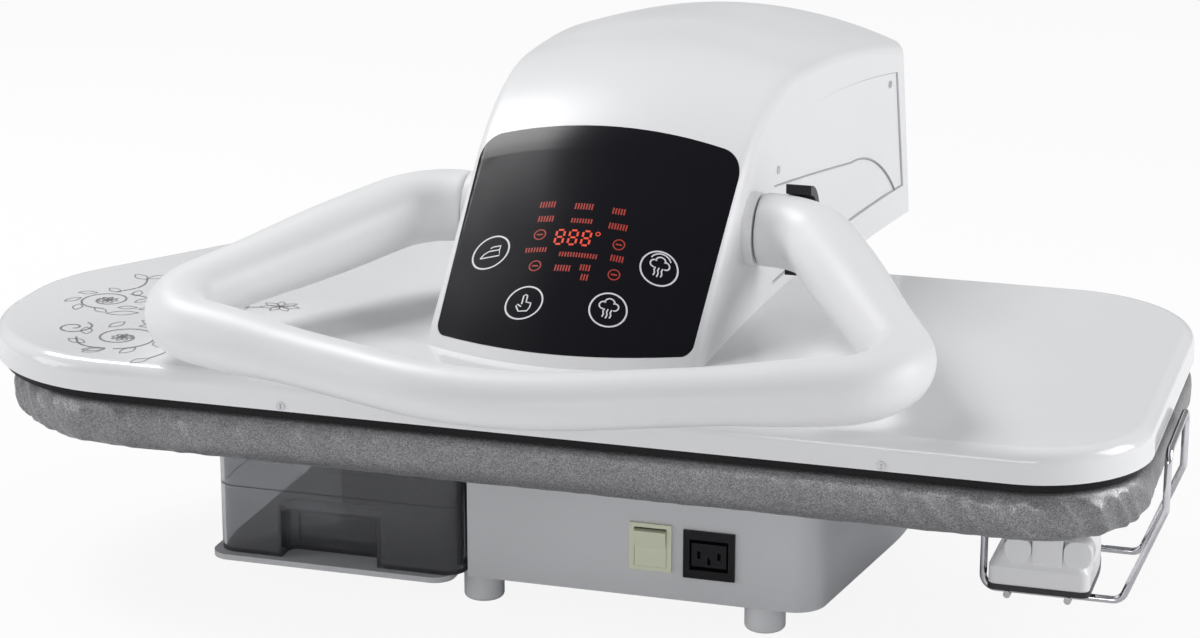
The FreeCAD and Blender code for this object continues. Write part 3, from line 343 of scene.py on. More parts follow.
def set_screws(name, body, places, radius, height):
    """Screw heads at (place, aim) pairs."""
    mesh = bpy.data.meshes.new(name + "_places")
    mesh.from_pydata([place for place, aim in places], [], [])
    aims = mesh.attributes.new("aim", "FLOAT_VECTOR", "POINT")
    for point, (place, aim) in zip(aims.data, places):
        point.vector = aim
    piece = grow(name, screw_tree, mesh, {
        "Head Radius": radius, "Head Height": height, "Slot Width": slot_share * radius,
        "Finish": screw_steel})
    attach(piece, body)


base_low, base_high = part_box("base_screws")
base_places = []
for x in (base_low.x + base_head_inset, base_high.x - base_head_inset):
    for y in (base_low.y + base_head_inset, base_high.y - base_head_inset):
        place = Vector((x, y, base_low.z + base_head_sink))
        base_places.append((place, Vector((0, 0, -1))))
set_screws("base_screw_heads", "base", base_places, base_head_radius, base_head_height)
dress(screw_steel, "base_screws")


# Water tank: two clear smoke-grey mouldings welded at a seam, with a filler cap on top and a
# valve behind. The walls are a few millimetres of tinted polycarbonate, polished, with faint
# handling haze.
smoke_tint = (0.45, 0.455, 0.475)
smoke_haze = 0.035
smoke_body = 0.07
valve_black = (0.018, 0.018, 0.02)
cap_grey = (0.46, 0.46, 0.48)


def clear_finish(name, tint, haze, body):
    """Tinted clear plastic; body is the share of light that its own haze scatters."""
    finish, tree, shader, place = begin_finish(name)
    smear = mottle(tree, place, 22.0, 5.0)
    feed(tree, shader, {
        "Base Color": shade_between(tree, smear, tinted(tint, 0.94), tinted(tint, 1.04)),
        "Roughness": spread(tree, smear, haze * 0.5, haze * 1.6),
        "Transmission Weight": 1.0 - body,
        "IOR": 1.46,
    })
    raise_grain(tree, shader, mottle(tree, place, 30.0, 3.0), 0.04, 0.2)
    return finish


smoke_clear = clear_finish("smoke_clear", smoke_tint, smoke_haze, smoke_body)
dark_moulding = moulded_finish("dark_moulding", valve_black, 0.36, (1100.0, 0.06), 0.12, 0.2)
cap_moulding = moulded_finish("cap_moulding", cap_grey, 0.4, (800.0, 0.06))
dress(smoke_clear, "water_tank", "tank_lid")
dress(cap_moulding, "tank_cap")
dress(dark_moulding, "tank_valve", "tank_dock")


# Switch and outlet: a cream rocker in its snap-in frame and a black three-slot outlet for the
# hand iron. Both are hard glossy mouldings pushed into holes of the housing's front wall.
cream = (0.70, 0.72, 0.55)
socket_black = (0.013, 0.012, 0.014)
bronze = (0.62, 0.42, 0.18)
switch_gloss = moulded_finish("switch_gloss", cream, 0.22, (400.0, 0.02))
outlet_black = moulded_finish("outlet_black", socket_black, 0.32, (700.0, 0.05), 0.15, 0.16)
contact_bronze = rolled_finish("contact_bronze", bronze, 0.3, (60.0, 900.0, 900.0))
dress(switch_gloss, "switch_bezel", "power_rocker")
dress(outlet_black, "iron_outlet", "cord_gland")
dress(contact_bronze, "outlet_contacts")


# Water path in the base: a vibrating pump in a dark case, and silicone hoses pushed on its stubs.
# The hoses are extruded, milky, with a dusty skin.
pump_grey = (0.12, 0.12, 0.135)
milky = (0.62, 0.61, 0.56)
pump_case = moulded_finish("pump_case", pump_grey, 0.45, (700.0, 0.08), 0.1)
hose_silicone = moulded_finish("hose_silicone", milky, 0.5, (300.0, 0.05), 0.06)
dress(pump_case, "water_pump")
dress(hose_silicone, "pump_inlet_hose", "pump_outlet_hose", "steam_hose")


# Board: a pressed zinc-plated tray on an angled steel ring, with a thick pad of cream foam on it.
# The foam is cut to the board's plan and has open pores and a softly rounded upper edge.
board_low, board_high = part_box("board_cover")
cover_bulge = 1.0 * mm
nose_depth = 185.0 * mm
nose_run = 131.5 * mm
board_left = board_low.x + cover_bulge
board_right = board_high.x - cover_bulge
board_front = board_low.y + cover_bulge
board_rear = board_high.y - cover_bulge
board_corners = [
    # x, y, radius
    (board_right, board_front, 80.0 * mm),
    (board_right, board_rear, 95.0 * mm),
    (board_left + nose_run, board_rear, 130.0 * mm),
    (board_left, board_front + nose_depth, 120.0 * mm),
    (board_left, board_front, 125.0 * mm),
]
outline_step = 4.0 * mm
foam_dark = (0.72, 0.66, 0.48)
foam_light = (0.86, 0.81, 0.66)
pore_scale = 900.0


def rounded_outline(corners, step):
    """Points and outward normals round a plan of (x, y, radius) corners, about a step apart."""
    points = []
    normals = []
    bends = []
    for i, (x, y, radius) in enumerate(corners):
        here = Vector((x, y))
        before = (here - Vector(corners[i - 1][:2])).normalized()
        after = (Vector(corners[(i + 1) % len(corners)][:2]) - here).normalized()
        half_turn = before.angle(after) / 2
        run = radius * math.tan(half_turn)
        centre = here + (after - before).normalized() * (radius / math.cos(half_turn))
        bends.append((here - before * run, here + after * run, centre, radius, 2 * half_turn))
    for i, (start, end, centre, radius, turn) in enumerate(bends):
        count = max(4, round(radius * turn / step))
        arm = start - centre
        for k in range(count):
            angle = turn * k / count
            swung = Vector((arm.x * math.cos(angle) - arm.y * math.sin(angle),
                            arm.x * math.sin(angle) + arm.y * math.cos(angle)))
            points.append(centre + swung)
            normals.append(swung.normalized())
        follow = bends[(i + 1) % len(bends)][0]
        run = follow - end
        count = max(1, round(run.length / step))
        out = Vector((run.y, -run.x)).normalized()
        for k in range(count):
            points.append(end + run * (k / count))
            normals.append(out)
    return points, normals


outline, outward = rounded_outline(board_corners, outline_step)
board_middle = ((board_left + board_right) / 2, (board_front + board_rear) / 2)


def ring_at(offset, z):
    """One loop of points round the board, set out from its plan by offset."""
    return [Vector((p.x + n.x * offset, p.y + n.y * offset, z)) for p, n in zip(outline, outward)]


def ring_inward(offset, share, z):
    """One loop drawn in from the edge towards the board's middle."""
    middle = Vector((*board_middle, z))
    return [point.lerp(middle, share) for point in ring_at(offset, z)]


def rungs_across(first, count):
    """Faces across a loop, like the rungs of a ladder from its first point to the opposite one."""
    faces = []
    for i in range(count // 2):
        corners = (i, i + 1, (count - i - 1) % count, (count - i) % count)
        faces.append(tuple(first + corner for corner in dict.fromkeys(corners)))
    return faces


def smooth_faces(mesh):
    mesh.polygons.foreach_set("use_smooth", [True] * len(mesh.polygons))


def sheet_of_rings(name, rings, close_start, close_end):
    """Quad mesh through loops of equal count, with its ends filled where asked."""
    count = len(outline)
    vertices = [point for ring in rings for point in ring]
    faces = []
    for level in range(len(rings) - 1):
        low = level * count
        high = low + count
        for i in range(count):
            j = (i + 1) % count
            faces.append((low + i, low + j, high + j, high + i))
    if close_start:
        faces += [tuple(reversed(face)) for face in rungs_across(0, count)]
    if close_end:
        faces += rungs_across((len(rings) - 1) * count, count)
    mesh = bpy.data.meshes.new(name)
    mesh.from_pydata(vertices, [], faces)
    smooth_faces(mesh)
    return bring_in(name, mesh)


def cells(tree, place, scale):
    return add_node(tree, "ShaderNodeTexVoronoi", {"Vector": place, "Scale": scale}).outputs


def foam_finish():
    finish, tree, shader, place = begin_finish("open_foam")
    pores = cells(tree, place, pore_scale)["Distance"]
    feed(tree, shader, {
        "Base Color": shade_between(tree, pores, foam_dark, foam_light, 0.1, 0.6),
        "Roughness": 0.9,
    })
    raise_grain(tree, shader, pores, 0.6, 0.3)
    return finish


pad_low, pad_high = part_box("board_foam")
pad_levels = ((-9.0, 0.0), (-3.6, 1.5), (-3.2, 5.0), (-3.4, 9.5), (-5.6, 12.4), (-9.0, 13.6))
pad_shares = (0.2, 0.5, 0.8)
pad_inset = -9.0 * mm
pad_top = pad_high.z - 0.1 * mm
pad_rings = [ring_at(offset * mm, pad_low.z + rise * mm) for offset, rise in pad_levels]
pad_rings += [ring_inward(pad_inset, share, pad_top) for share in pad_shares]
board_pad = sheet_of_rings("board_pad", pad_rings, True, True)
board_pad.data.materials.append(foam_finish())
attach(board_pad, "base")
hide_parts("board_foam")
dress(zinc_sheet, "board_tray", "board_support")


# Board cover: silver metallised cloth drawn over the pad and gathered under the board's edge.
# It is cut larger than the board, so spare cloth buckles at the nose, at the corners and along
# the hem.
hem_z = board_low.z
cover_top = board_high.z
side_levels = (
    # out from the board's plan and up from the hem, in millimetres
    (-17.0, 1.4), (-14.0, 0.5), (-11.0, 0.1), (-8.0, 0.0), (-5.0, 0.3), (-3.0, 2.2),
    (-1.4, 4.6), (-0.2, 7.4), (0.6, 10.4), (0.9, 13.4), (1.0, 16.4), (1.0, 19.4),
    (0.8, 22.4), (0.1, 25.2), (-1.4, 27.9), (-3.4, 30.2), (-6.0, 31.6), (-9.5, 31.85),
)
top_shares = (0.12, 0.4, 0.7)
top_inset = -9.5 * mm
held_hem_rings = 3
first_side_ring = 4
last_free_ring = len(side_levels) - 4
free_rings = 13
core_rings = slice(3, 16)
core_inset = 3.0
core_lift = 0.8
core_foot = 3.0
cap_out = 5.0 * mm
cap_in = 2.4 * mm
cap_by_wire = 1.0 * mm
wire_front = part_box("iron_rest")[0].y
spare_cloth = -0.12
nose_reach = 340.0 * mm
corner_reach = 190.0 * mm
patch_scale = 9.0
fold_scale = 58.0
fold_slant = 0.8
fold_start = 0.5
ridge_height = 5.2
pucker_scale = 70.0
fold_sink = 0.8
cloth_frames = 20
cloth_thickness = 0.7 * mm
fleck_scale = 1700.0
fleck_dark = (0.17, 0.17, 0.175)
fleck_bright = (0.37, 0.37, 0.38)
cloudy_dark = (0.86, 0.86, 0.86)
cloudy_light = (1.0, 1.0, 1.0)


def clamp(value, low=0.0, high=1.0):
    return min(max(value, low), high)


def slack_at(point):
    """Share of spare cloth round the board: most at the nose and the right front corner."""
    nose = 1.0 - clamp((point.x - board_left) / nose_reach)
    corner = (Vector((point.x, point.y)) - Vector((board_right, board_front))).length
    right = clamp(1.0 - corner / corner_reach)
    patch = Vector((point.x * patch_scale, point.y * patch_scale, 3.7))
    patchy = 0.5 + 0.5 * noise.noise(patch)
    return min(1.0, 0.2 + 0.9 * nose + 0.7 * right) * (0.55 + 0.45 * patchy)


def rise_of(level):
    """Share of the way up the cover's side."""
    return clamp((level - first_side_ring) / free_rings)


def by_wire(point, beside, ahead):
    """Whether cloth lies next to the iron's cradle, where it has no room to stand out."""
    return point.x > board_right - beside * mm and point.y > wire_front - ahead * mm


def fold_at(point, side, rise):
    """Height of the folds: slanting ridges in spare cloth and puckers along the hem."""
    height = point.z - hem_z
    x = point.x - side.y * fold_slant * height
    y = point.y + side.x * fold_slant * height
    crest = noise.noise(Vector((x * fold_scale, y * fold_scale, height * 12.0)))
    ripple = noise.noise(Vector((point.x * pucker_scale, point.y * pucker_scale, 9.2)))
    slack = slack_at(point)
    ridge = max(0.0, 1.0 - 3.0 * abs(crest)) * ridge_height * slack * (1.0 - 0.45 * rise)
    pucker = ripple * (0.5 + 1.7 * slack) * (1.0 - rise)
    return (ridge + pucker - fold_sink) * mm


def side_rings():
    return [ring_at(offset * mm, hem_z + rise * mm) for offset, rise in side_levels]


def make_cover():
    top = cover_top - 0.15 * mm
    rings = side_rings() + [ring_inward(top_inset, share, top) for share in top_shares]
    return sheet_of_rings("board_cover_cloth", rings, False, True)


def make_core():
    """The pad's side inside the cloth, as an open band for the cloth to lie against."""
    rings = []
    for offset, rise in side_levels[core_rings]:
        lift = core_lift if rise < core_foot else 0.0
        rings.append(ring_at((offset - core_inset) * mm, hem_z + (rise + lift) * mm))
    core = sheet_of_rings("cloth_core", rings, False, False)
    core.modifiers.new("collision", "COLLISION")
    core.collision.thickness_outer = 0.4 * mm
    core.collision.cloth_friction = 12.0
    return core


def weave_into(strip):
    """Cloth settings: a light, stiff weave with spare length, pushed out softly by the pad."""
    weave = strip.modifiers.new("cloth", "CLOTH")
    weave.settings.quality = 6
    weave.settings.mass = 0.15
    weave.settings.tension_stiffness = 12.0
    weave.settings.compression_stiffness = 12.0
    weave.settings.shear_stiffness = 5.0
    weave.settings.bending_stiffness = 1.2
    weave.settings.air_damping = 3.0
    weave.settings.vertex_group_mass = "held"
    weave.settings.vertex_group_shrink = "slack"
    weave.settings.shrink_min = 0.0
    weave.settings.shrink_max = spare_cloth
    weave.settings.use_pressure = True
    weave.settings.uniform_pressure_force = 0.5
    weave.settings.effector_weights.gravity = 0.0
    weave.collision_settings.distance_min = 0.6 * mm
    weave.point_cache.frame_end = cloth_frames


def settle_cloth(cloth):
    """Let the spare cloth buckle over the pad, with the drawn hem and the pressed top held."""
    count = len(outline)
    core = make_core()
    strip = sheet_of_rings("cloth_strip", side_rings(), False, False)
    held = strip.vertex_groups.new(name="held")
    slack = strip.vertex_groups.new(name="slack")
    start = [vertex.co.copy() for vertex in strip.data.vertices]
    for i, point in enumerate(start):
        level = i // count
        rise = rise_of(level)
        if level < held_hem_rings or level > last_free_ring:
            held.add([i], 1.0, "REPLACE")
        slack.add([i], slack_at(point) * (1.0 - 0.6 * rise), "REPLACE")
        if held_hem_rings <= level < last_free_ring:
            side = outward[i % count]
            strip.data.vertices[i].co += side.to_3d() * fold_start * fold_at(point, side, rise)
    weave_into(strip)
    scene = bpy.context.scene
    for step in range(1, cloth_frames + 1):
        scene.frame_set(step)
    settled = strip.evaluated_get(bpy.context.evaluated_depsgraph_get()).to_mesh()
    moved = [vertex.co.copy() for vertex in settled.vertices]
    bpy.data.objects.remove(strip)
    bpy.data.objects.remove(core)
    scene.frame_set(1)
    for i, vertex in enumerate(cloth.data.vertices[:len(start)]):
        shift = moved[i] - start[i]
        side = outward[i % count].to_3d()
        out = shift.dot(side)
        along = shift - side * out
        reach = cap_by_wire if by_wire(start[i], 6, 20) else cap_out
        if along.length > cap_out:
            along *= cap_out / along.length
        place = start[i] + along + side * clamp(out, -cap_in, reach)
        place.z = clamp(place.z, hem_z - 1.5 * mm, cover_top - 0.1 * mm)
        vertex.co = place


def set_creases(cloth):
    """Press the slanting folds and the hem's puckers into the settled cloth."""
    count = len(outline)
    levels = len(side_levels)
    for i, vertex in enumerate(cloth.data.vertices[:levels * count]):
        level = i // count
        ease = clamp(min(level - held_hem_rings + 1, levels - 3 - level) / 3)
        side = outward[i % count].to_3d()
        reach = 0.25 if by_wire(vertex.co, 12, 30) else 1.0
        vertex.co += side * fold_at(vertex.co, side, rise_of(level)) * ease * reach


def metallised_cloth():
    """Fine tight weave with bright metal flecks, in a broad cloudy tone."""
    finish, tree, shader, place = begin_finish("metallised_cloth")
    flecks = cells(tree, place, fleck_scale)["Color"]
    spark = add_node(tree, "ShaderNodeSeparateColor", {0: flecks}).outputs
    fine = shade_between(tree, spark[0], fleck_dark, fleck_bright, 0.15, 0.95)
    broad = shade_between(tree, mottle(tree, place, 14.0, 4.0), cloudy_dark, cloudy_light)
    both = add_node(tree, "ShaderNodeMix")
    both.data_type = "RGBA"
    both.blend_type = "MULTIPLY"
    feed(tree, both, {"Factor": 1.0, 6: fine, 7: broad})
    feed(tree, shader, {
        "Base Color": both.outputs[2],
        "Metallic": 0.7,
        "Roughness": spread(tree, spark[1], 0.34, 0.5, 0.0, 1.0),
        "Sheen Weight": 0.15,
        "Sheen Roughness": 0.5,
    })
    raise_grain(tree, shader, spark[2], 0.35, 0.08)
    return finish


cover = make_cover()
settle_cloth(cover)
set_creases(cover)
cover.data.materials.append(metallised_cloth())
thicken = cover.modifiers.new("cloth_thickness", "SOLIDIFY")
thicken.thickness = cloth_thickness
thicken.offset = -1.0
soften = cover.modifiers.new("soft_folds", "SUBSURF")
soften.levels = 1
soften.render_levels = 1
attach(cover, "base")
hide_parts("board_cover")


# Hem seam: a row of grey lockstitch along the turned-in hem, sewn before the cover is drawn on.
# One tree lays a short stitch at each step of the hem's line.
stitch_pitch = 4.5 * mm
stitch_length = 0.62 * stitch_pitch
stitch_half = 0.35 * mm
stitch_inset = -12.5 * mm
stitch_z = hem_z + 0.1 * mm
cotton_grey = (0.32, 0.32, 0.34)
thread_grey = moulded_finish("thread_grey", cotton_grey, 0.7, (2500.0, 0.1), 0.1)


def stitch_tree():
    tree, entry = begin_tree("hem_stitches", "Path", "Stitches",
                             ("Pitch", "Thread Radius", "Stitch Length"))
    line = add_node(tree, "GeometryNodeMeshToCurve", {"Mesh": entry["Path"]})
    steps = add_node(tree, "GeometryNodeResampleCurve")
    steps.mode = "LENGTH"
    feed(tree, steps, {"Curve": line.outputs[0], "Length": entry["Pitch"]})
    thread = add_node(tree, "GeometryNodeMeshCylinder", {
        "Vertices": 8, "Radius": entry["Thread Radius"], "Depth": entry["Stitch Length"]})
    along = add_node(tree, "GeometryNodeInputTangent").outputs["Tangent"]
    end_tree(tree, entry, seat_along(tree, steps.outputs[0], thread.outputs["Mesh"], along))
    return tree


def closed_line(name, points):
    mesh = bpy.data.meshes.new(name)
    mesh.from_pydata(points, [(i, (i + 1) % len(points)) for i in range(len(points))], [])
    return mesh


hem_line = closed_line("hem_line", ring_at(stitch_inset, stitch_z))
hem_stitches = grow("hem_stitches", stitch_tree(), hem_line, {
    "Pitch": stitch_pitch, "Thread Radius": stitch_half, "Stitch Length": stitch_length,
    "Finish": thread_grey})
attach(hem_stitches, "base")


# Hinge: zinc-plated uprights carry a bright shaft with bronze bushes, springs and a water union.
# The lever arms and the crossbar are pressed steel; the arms turn on the bushes.
shaft_grey = (0.66, 0.66, 0.68)
bright_shaft = rolled_finish("bright_shaft", shaft_grey, 0.18, (20.0, 800.0, 800.0))
dress(zinc_sheet, "hinge_bracket_left", "hinge_bracket_right", "lever_arm_left",
      "lever_arm_right", "crossbar", "pressure_cam")
dress(bright_shaft, "hinge_shaft", "lift_springs", "handle_shaft", "plate_bolts", "rim_screws")
dress(contact_bronze, "arm_bushes", "water_union")


# Pressing plate: a cast plate with a black non-stick coat below, its heater and steam chamber
# above. The coat is sprayed and baked, so it is smooth, dark and faintly speckled.
baked_black = (0.014, 0.014, 0.015)
cast_grey = (0.58, 0.59, 0.6)
sleeve_cream = (0.8, 0.77, 0.68)
coat_black = moulded_finish("coat_black", baked_black, 0.38, (1500.0, 0.04), 0.2, 0.12)
cast_metal = rolled_finish("cast_metal", cast_grey, 0.5, (140.0, 140.0, 140.0))
fuse_sleeve = moulded_finish("fuse_sleeve", sleeve_cream, 0.35, (300.0, 0.03))
dress(coat_black, "heater_plate")
dress(cast_metal, "steam_chamber", "heating_element")
dress(dark_moulding, "thermostat")
dress(fuse_sleeve, "thermal_fuse")


# Plate casing: a large white moulding with a rolled rim over the pressing plate, polished to a
# high gloss. Screws through the rim hold it, and a grey scroll is printed on the nose.
casing_white = (0.80, 0.802, 0.81)
casing_variation = 0.012
plate_gloss = moulded_finish("plate_gloss", casing_white, 0.10, None, casing_variation)
dress(plate_gloss, "plate_shell")
rim_low, rim_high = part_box("rim_screws")
rim_middle = (rim_low.z + rim_high.z) / 2
rim_head_radius = 2.9 * mm
rim_head_height = 0.8 * mm
rim_head_inset = 3.0 * mm
rim_places = []
for x in (rim_low.x + rim_head_inset, rim_high.x - rim_head_inset):
    for y, way in ((rim_low.y, -1), (rim_high.y, 1)):
        rim_places.append((Vector((x, y, rim_middle)), Vector((0, way, 0))))
set_screws("rim_screw_heads", "head", rim_places, rim_head_radius, rim_head_height)
above_press = 0.6
ink_lift = 0.12 * mm
points_per_turn = 26
bow_steps = 16


def surface_of(name):
    """Search tree over a solid's faces, for laying print on them."""
    mesh = solids[name].data
    points = [solids[name].matrix_world @ vertex.co for vertex in mesh.vertices]
    return BVHTree.FromPolygons(points, [list(face.vertices) for face in mesh.polygons])


def drop_onto(surface, x, y, lift):
    """Point just above a surface, straight below (x, y)."""
    hit, normal = surface.ray_cast(Vector((x, y, above_press)), Vector((0, 0, -1)))[:2]
    return hit + normal * lift


def stroke(points, width, closed=False):
    """A flat printed line: its points on both sides and its faces."""
    count = len(points)
    left = []
    right = []
    for i, point in enumerate(points):
        before = points[i - 1] if closed or i > 0 else point
        after = points[(i + 1) % count] if closed or i < count - 1 else point
        run = (after - before).normalized()
        side = Vector((-run.y, run.x)) * width / 2
        left.append(point + side)
        right.append(point - side)
    faces = []
    for i in range(count if closed else count - 1):
        j = (i + 1) % count
        faces.append((count + i, count + j, j, i))
    return left + right, faces


def print_on(name, body, finish, shapes, place):
    """Lay flat shapes on a surface as one thin printed piece."""
    vertices = []
    faces = []
    for points, polygons in shapes:
        first = len(vertices)
        vertices += [place(point) for point in points]
        faces += [tuple(first + i for i in polygon) for polygon in polygons]
    mesh = bpy.data.meshes.new(name)
    mesh.from_pydata(vertices, [], faces)
    mesh.materials.append(finish)
    piece = bring_in(name, mesh)
    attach(piece, body)


def swing(centre, angle, radius):
    """Point at an angle and a radius from a centre."""
    return Vector(centre) + Vector((math.cos(angle), math.sin(angle))) * radius


def spiral(centre, inner, outer, turns, start, hand):
    count = round(points_per_turn * turns)
    points = []
    for i in range(count + 1):
        share = i / count
        angle = start + hand * turns * 2 * math.pi * share
        points.append(swing(centre, angle, inner + (outer - inner) * share))
    return points


def bow(start, end, swell):
    """A bent line from start to end that swells to one side."""
    start, end = Vector(start), Vector(end)
    run = end - start
    side = Vector((-run.y, run.x)) * swell
    shares = [i / bow_steps for i in range(bow_steps + 1)]
    return [start + run * share + side * math.sin(math.pi * share) for share in shares]


def leaf(root, tip, fat):
    return bow(root, tip, fat) + bow(tip, root, fat)[1:-1]


def on_plate(point):
    return drop_onto(plate_face, point.x * mm, point.y * mm, ink_lift)


ink_grey = (0.24, 0.24, 0.26)
scroll_ink = moulded_finish("scroll_ink", ink_grey, 0.3, (500.0, 0.02), 0.15)
plate_face = surface_of("plate_shell")
stem_width = 1.5
leaf_width = 0.9
scroll_lines = [
    spiral((-349, -137), 3, 21, 1.7, 0.6, 1), spiral((-300, -217), 3, 27, 1.6, 2.4, -1),
    spiral((-343, -205), 2, 14, 1.4, 5.0, 1), spiral((-286, -166), 2, 11, 1.3, 1.2, -1),
    bow((-340, -118), (-290, -190), 0.25), bow((-331, -225), (-300, -244), -0.2),
    bow((-352, -116), (-345, -78), -0.2), bow((-272, -217), (-262, -256), 0.25),
    bow((-257, -137), (-236, -122), 0.15),
]
scroll_leaves = [
    leaf((-318, -152), (-296, -140), 0.2), leaf((-314, -160), (-336, -168), 0.2),
    leaf((-304, -176), (-282, -186), 0.2), leaf((-345, -78), (-334, -66), 0.25),
    leaf((-345, -80), (-358, -70), 0.25), leaf((-262, -256), (-270, -268), 0.25),
    leaf((-300, -244), (-312, -256), 0.25), leaf((-246, -132), (-252, -118), 0.25),
]
wreaths = (((-349, -137), 21, 1), ((-300, -217), 27, -1))
wreath_leaves = 8
for centre, radius, hand in wreaths:
    for step in range(wreath_leaves):
        angle = step * 2 * math.pi / wreath_leaves
        tip = swing(centre, angle + 0.4 * hand, radius + 10)
        scroll_leaves.append(leaf(swing(centre, angle, radius), tip, 0.24))
        scroll_leaves.append(leaf(centre, swing(centre, angle, 8), 0.24))
flower = (-224, -116)
flower_petals = 7
for step in range(flower_petals):
    angle = step * 2 * math.pi / flower_petals
    tip = (flower[0] + 15 * math.cos(angle), flower[1] + 12 * math.sin(angle))
    scroll_leaves.append(leaf(flower, tip, 0.22))
scroll_shapes = [stroke(line, stem_width) for line in scroll_lines]
scroll_shapes += [stroke(line, leaf_width, True) for line in scroll_leaves]
print_on("nose_scroll", "head", scroll_ink, scroll_shapes, on_plate)


# Hood: one tall white moulding arched over the arms, with a plain inset panel in each side.
# It is a satin-gloss skin with small fixing screws in the panels.
hood_satin = moulded_finish("hood_satin", casing_white, 0.33, None, casing_variation)
dress(hood_satin, "hood", "side_panel_left", "side_panel_right", "panel_carrier")
dress(screw_steel, "hood_screws")
# Painted shade: a thin mid-grey bead laid along each side panel's edges stands in for the shadow in
# the groove round the panel.
groove_shadow_grey = (0.40, 0.40, 0.41)
groove_shadow_paint = moulded_finish("groove_shadow_paint", groove_shadow_grey, 0.5, (600.0, 0.02), 0.08)
groove_shadow_half = 0.75 * mm
weld_gap = 0.02 * mm
sharp_turn = 0.6
facing_share = 0.6


def groove_shadow_tree():
    tree, entry = begin_tree("panel_groove_shadow", "Path", "Seam", ("Half Width",))
    line = add_node(tree, "GeometryNodeMeshToCurve", {"Mesh": entry["Path"]})
    section = add_node(tree, "GeometryNodeCurvePrimitiveCircle", {
        "Resolution": 8, "Radius": entry["Half Width"]})
    sweep = add_node(tree, "GeometryNodeCurveToMesh", {
        "Curve": line.outputs[0], "Profile Curve": section.outputs["Curve"]})
    end_tree(tree, entry, sweep)
    return tree


def sharp_lines(name, outward_x):
    """The edges of a side panel's outer face, as a mesh of lines."""
    work = bmesh.new()
    work.from_mesh(solids[name].data)
    bmesh.ops.remove_doubles(work, verts=work.verts, dist=weld_gap)
    points = []
    lines = []
    seen = {}
    for edge in work.edges:
        normals = [face.normal for face in edge.link_faces]
        outer = any(normal.x * outward_x > facing_share for normal in normals)
        if outer and len(normals) == 2 and normals[0].angle(normals[1], 0.0) > sharp_turn:
            for vertex in edge.verts:
                if vertex.index not in seen:
                    seen[vertex.index] = len(points)
                    points.append(vertex.co.copy())
            lines.append([seen[vertex.index] for vertex in edge.verts])
    work.free()
    mesh = bpy.data.meshes.new(name + "_lines")
    mesh.from_pydata(points, lines, [])
    return mesh


panel_groove_shadow = groove_shadow_tree()
for side, outward_x in (("left", -1), ("right", 1)):
    shadow_line = grow("panel_groove_shadow_" + side, panel_groove_shadow, sharp_lines("side_panel_" + side, outward_x), {
        "Half Width": groove_shadow_half, "Finish": groove_shadow_paint})
    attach(shadow_line, "head")


# Control glass: a dark bowed glass let into the hood's slope, with a display and a board behind
# it. Its face is polished; the signs are printed on its back in white and the display shines
# through in red.
glass_dark = (0.0035, 0.0035, 0.0065)
board_green = (0.03, 0.17, 0.07)
glass_face = moulded_finish("glass_face", glass_dark, 0.19, None, 0.1, 0.24)
circuit_green = moulded_finish("circuit_green", board_green, 0.4, (260.0, 0.1), 0.2)
dress(glass_face, "control_glass")
dress(circuit_green, "control_board")
dress(dark_moulding, "display_module")
panel_foot_y = -196.8 * mm
panel_slope = math.radians(41.4)
panel_middle = 3.0 * mm
glass_lift = 0.15 * mm
glass_surface = surface_of("control_glass")


def on_glass(point):
    """Place of (across, up the slope) millimetres on the glass."""
    y = panel_foot_y + point.y * mm * math.cos(panel_slope)
    return drop_onto(glass_surface, panel_middle + point.x * mm, y, glass_lift)


def flat_line(*points):
    return [Vector(point) for point in points]


def arc(centre, radius, start, end, count=14):
    turn = end - start
    return [swing(centre, math.radians(start + turn * i / count), radius) for i in range(count + 1)]


def hoop(centre, radius, width, count):
    """A printed ring."""
    return stroke(arc(centre, radius, 0, 360, count)[:-1], width, True)


def shifted(points, centre):
    return [point + Vector(centre) for point in points]


def glowing_finish(name, colour, glow):
    """Lit display: fine dots of light in a dark red ground."""
    finish, tree, shader, place = begin_finish(name)
    dots = cells(tree, place, 1200.0)["Distance"]
    feed(tree, shader, {
        "Base Color": (*tinted(colour, 0.1), 1.0),
        "Roughness": 0.5,
        "Emission Color": (*colour, 1.0),
        "Emission Strength": spread(tree, dots, glow, glow * 0.55, 0.0, 0.7),
    })
    return finish


sign_white = (0.72, 0.72, 0.75)
sign_ink = moulded_finish("sign_ink", sign_white, 0.4, (500.0, 0.02), 0.05)
display_red = glowing_finish("display_red", (1.0, 0.07, 0.02), 1.1)
display_dim = glowing_finish("display_dim", (1.0, 0.05, 0.02), 0.38)
steam_mark = [
    arc((-4.0, 3.0), 2.8, 60, 280), arc((0.0, 5.2), 3.6, 10, 170),
    arc((4.0, 3.0), 2.8, -100, 120),
    flat_line((-2.6, 0.5), (-3.2, -1.8), (-2.4, -4.0), (-3.0, -6.2)),
    flat_line((0.0, 0.5), (-0.6, -1.8), (0.2, -4.0), (-0.4, -6.8)),
    flat_line((2.6, 0.5), (2.0, -1.8), (2.8, -4.0), (2.2, -6.2)),
]
strong_steam_mark = steam_mark + [arc((0.0, 3.8), 7.6, 25, 155)]
iron_mark = [
    flat_line((-7.0, -3.6), (7.0, -3.6), (6.0, 1.2), (-1.5, 1.2), (-5.0, -0.8), (-7.0, -3.6)),
    flat_line((-1.0, 3.4), (1.0, 4.4), (6.2, 4.4), (6.0, 1.2)),
]
press_mark = [
    flat_line((-1.4, -1.0), (-1.4, 5.6), (0.0, 6.6), (1.4, 5.6), (1.4, 0.6), (5.0, -0.4),
              (5.0, -3.6), (3.6, -6.6), (-2.6, -6.6), (-5.2, -2.2), (-4.2, -0.9), (-1.4, -3.0)),
]
signs = (
    ((-64.6, 96.5), iron_mark), ((-29.5, 51.2), press_mark),
    ((30.3, 51.5), steam_mark), ((57.2, 92.9), strong_steam_mark),
)
sign_radius = 13.0
ring_width = 1.2
mark_width = 1.0
sign_shapes = []
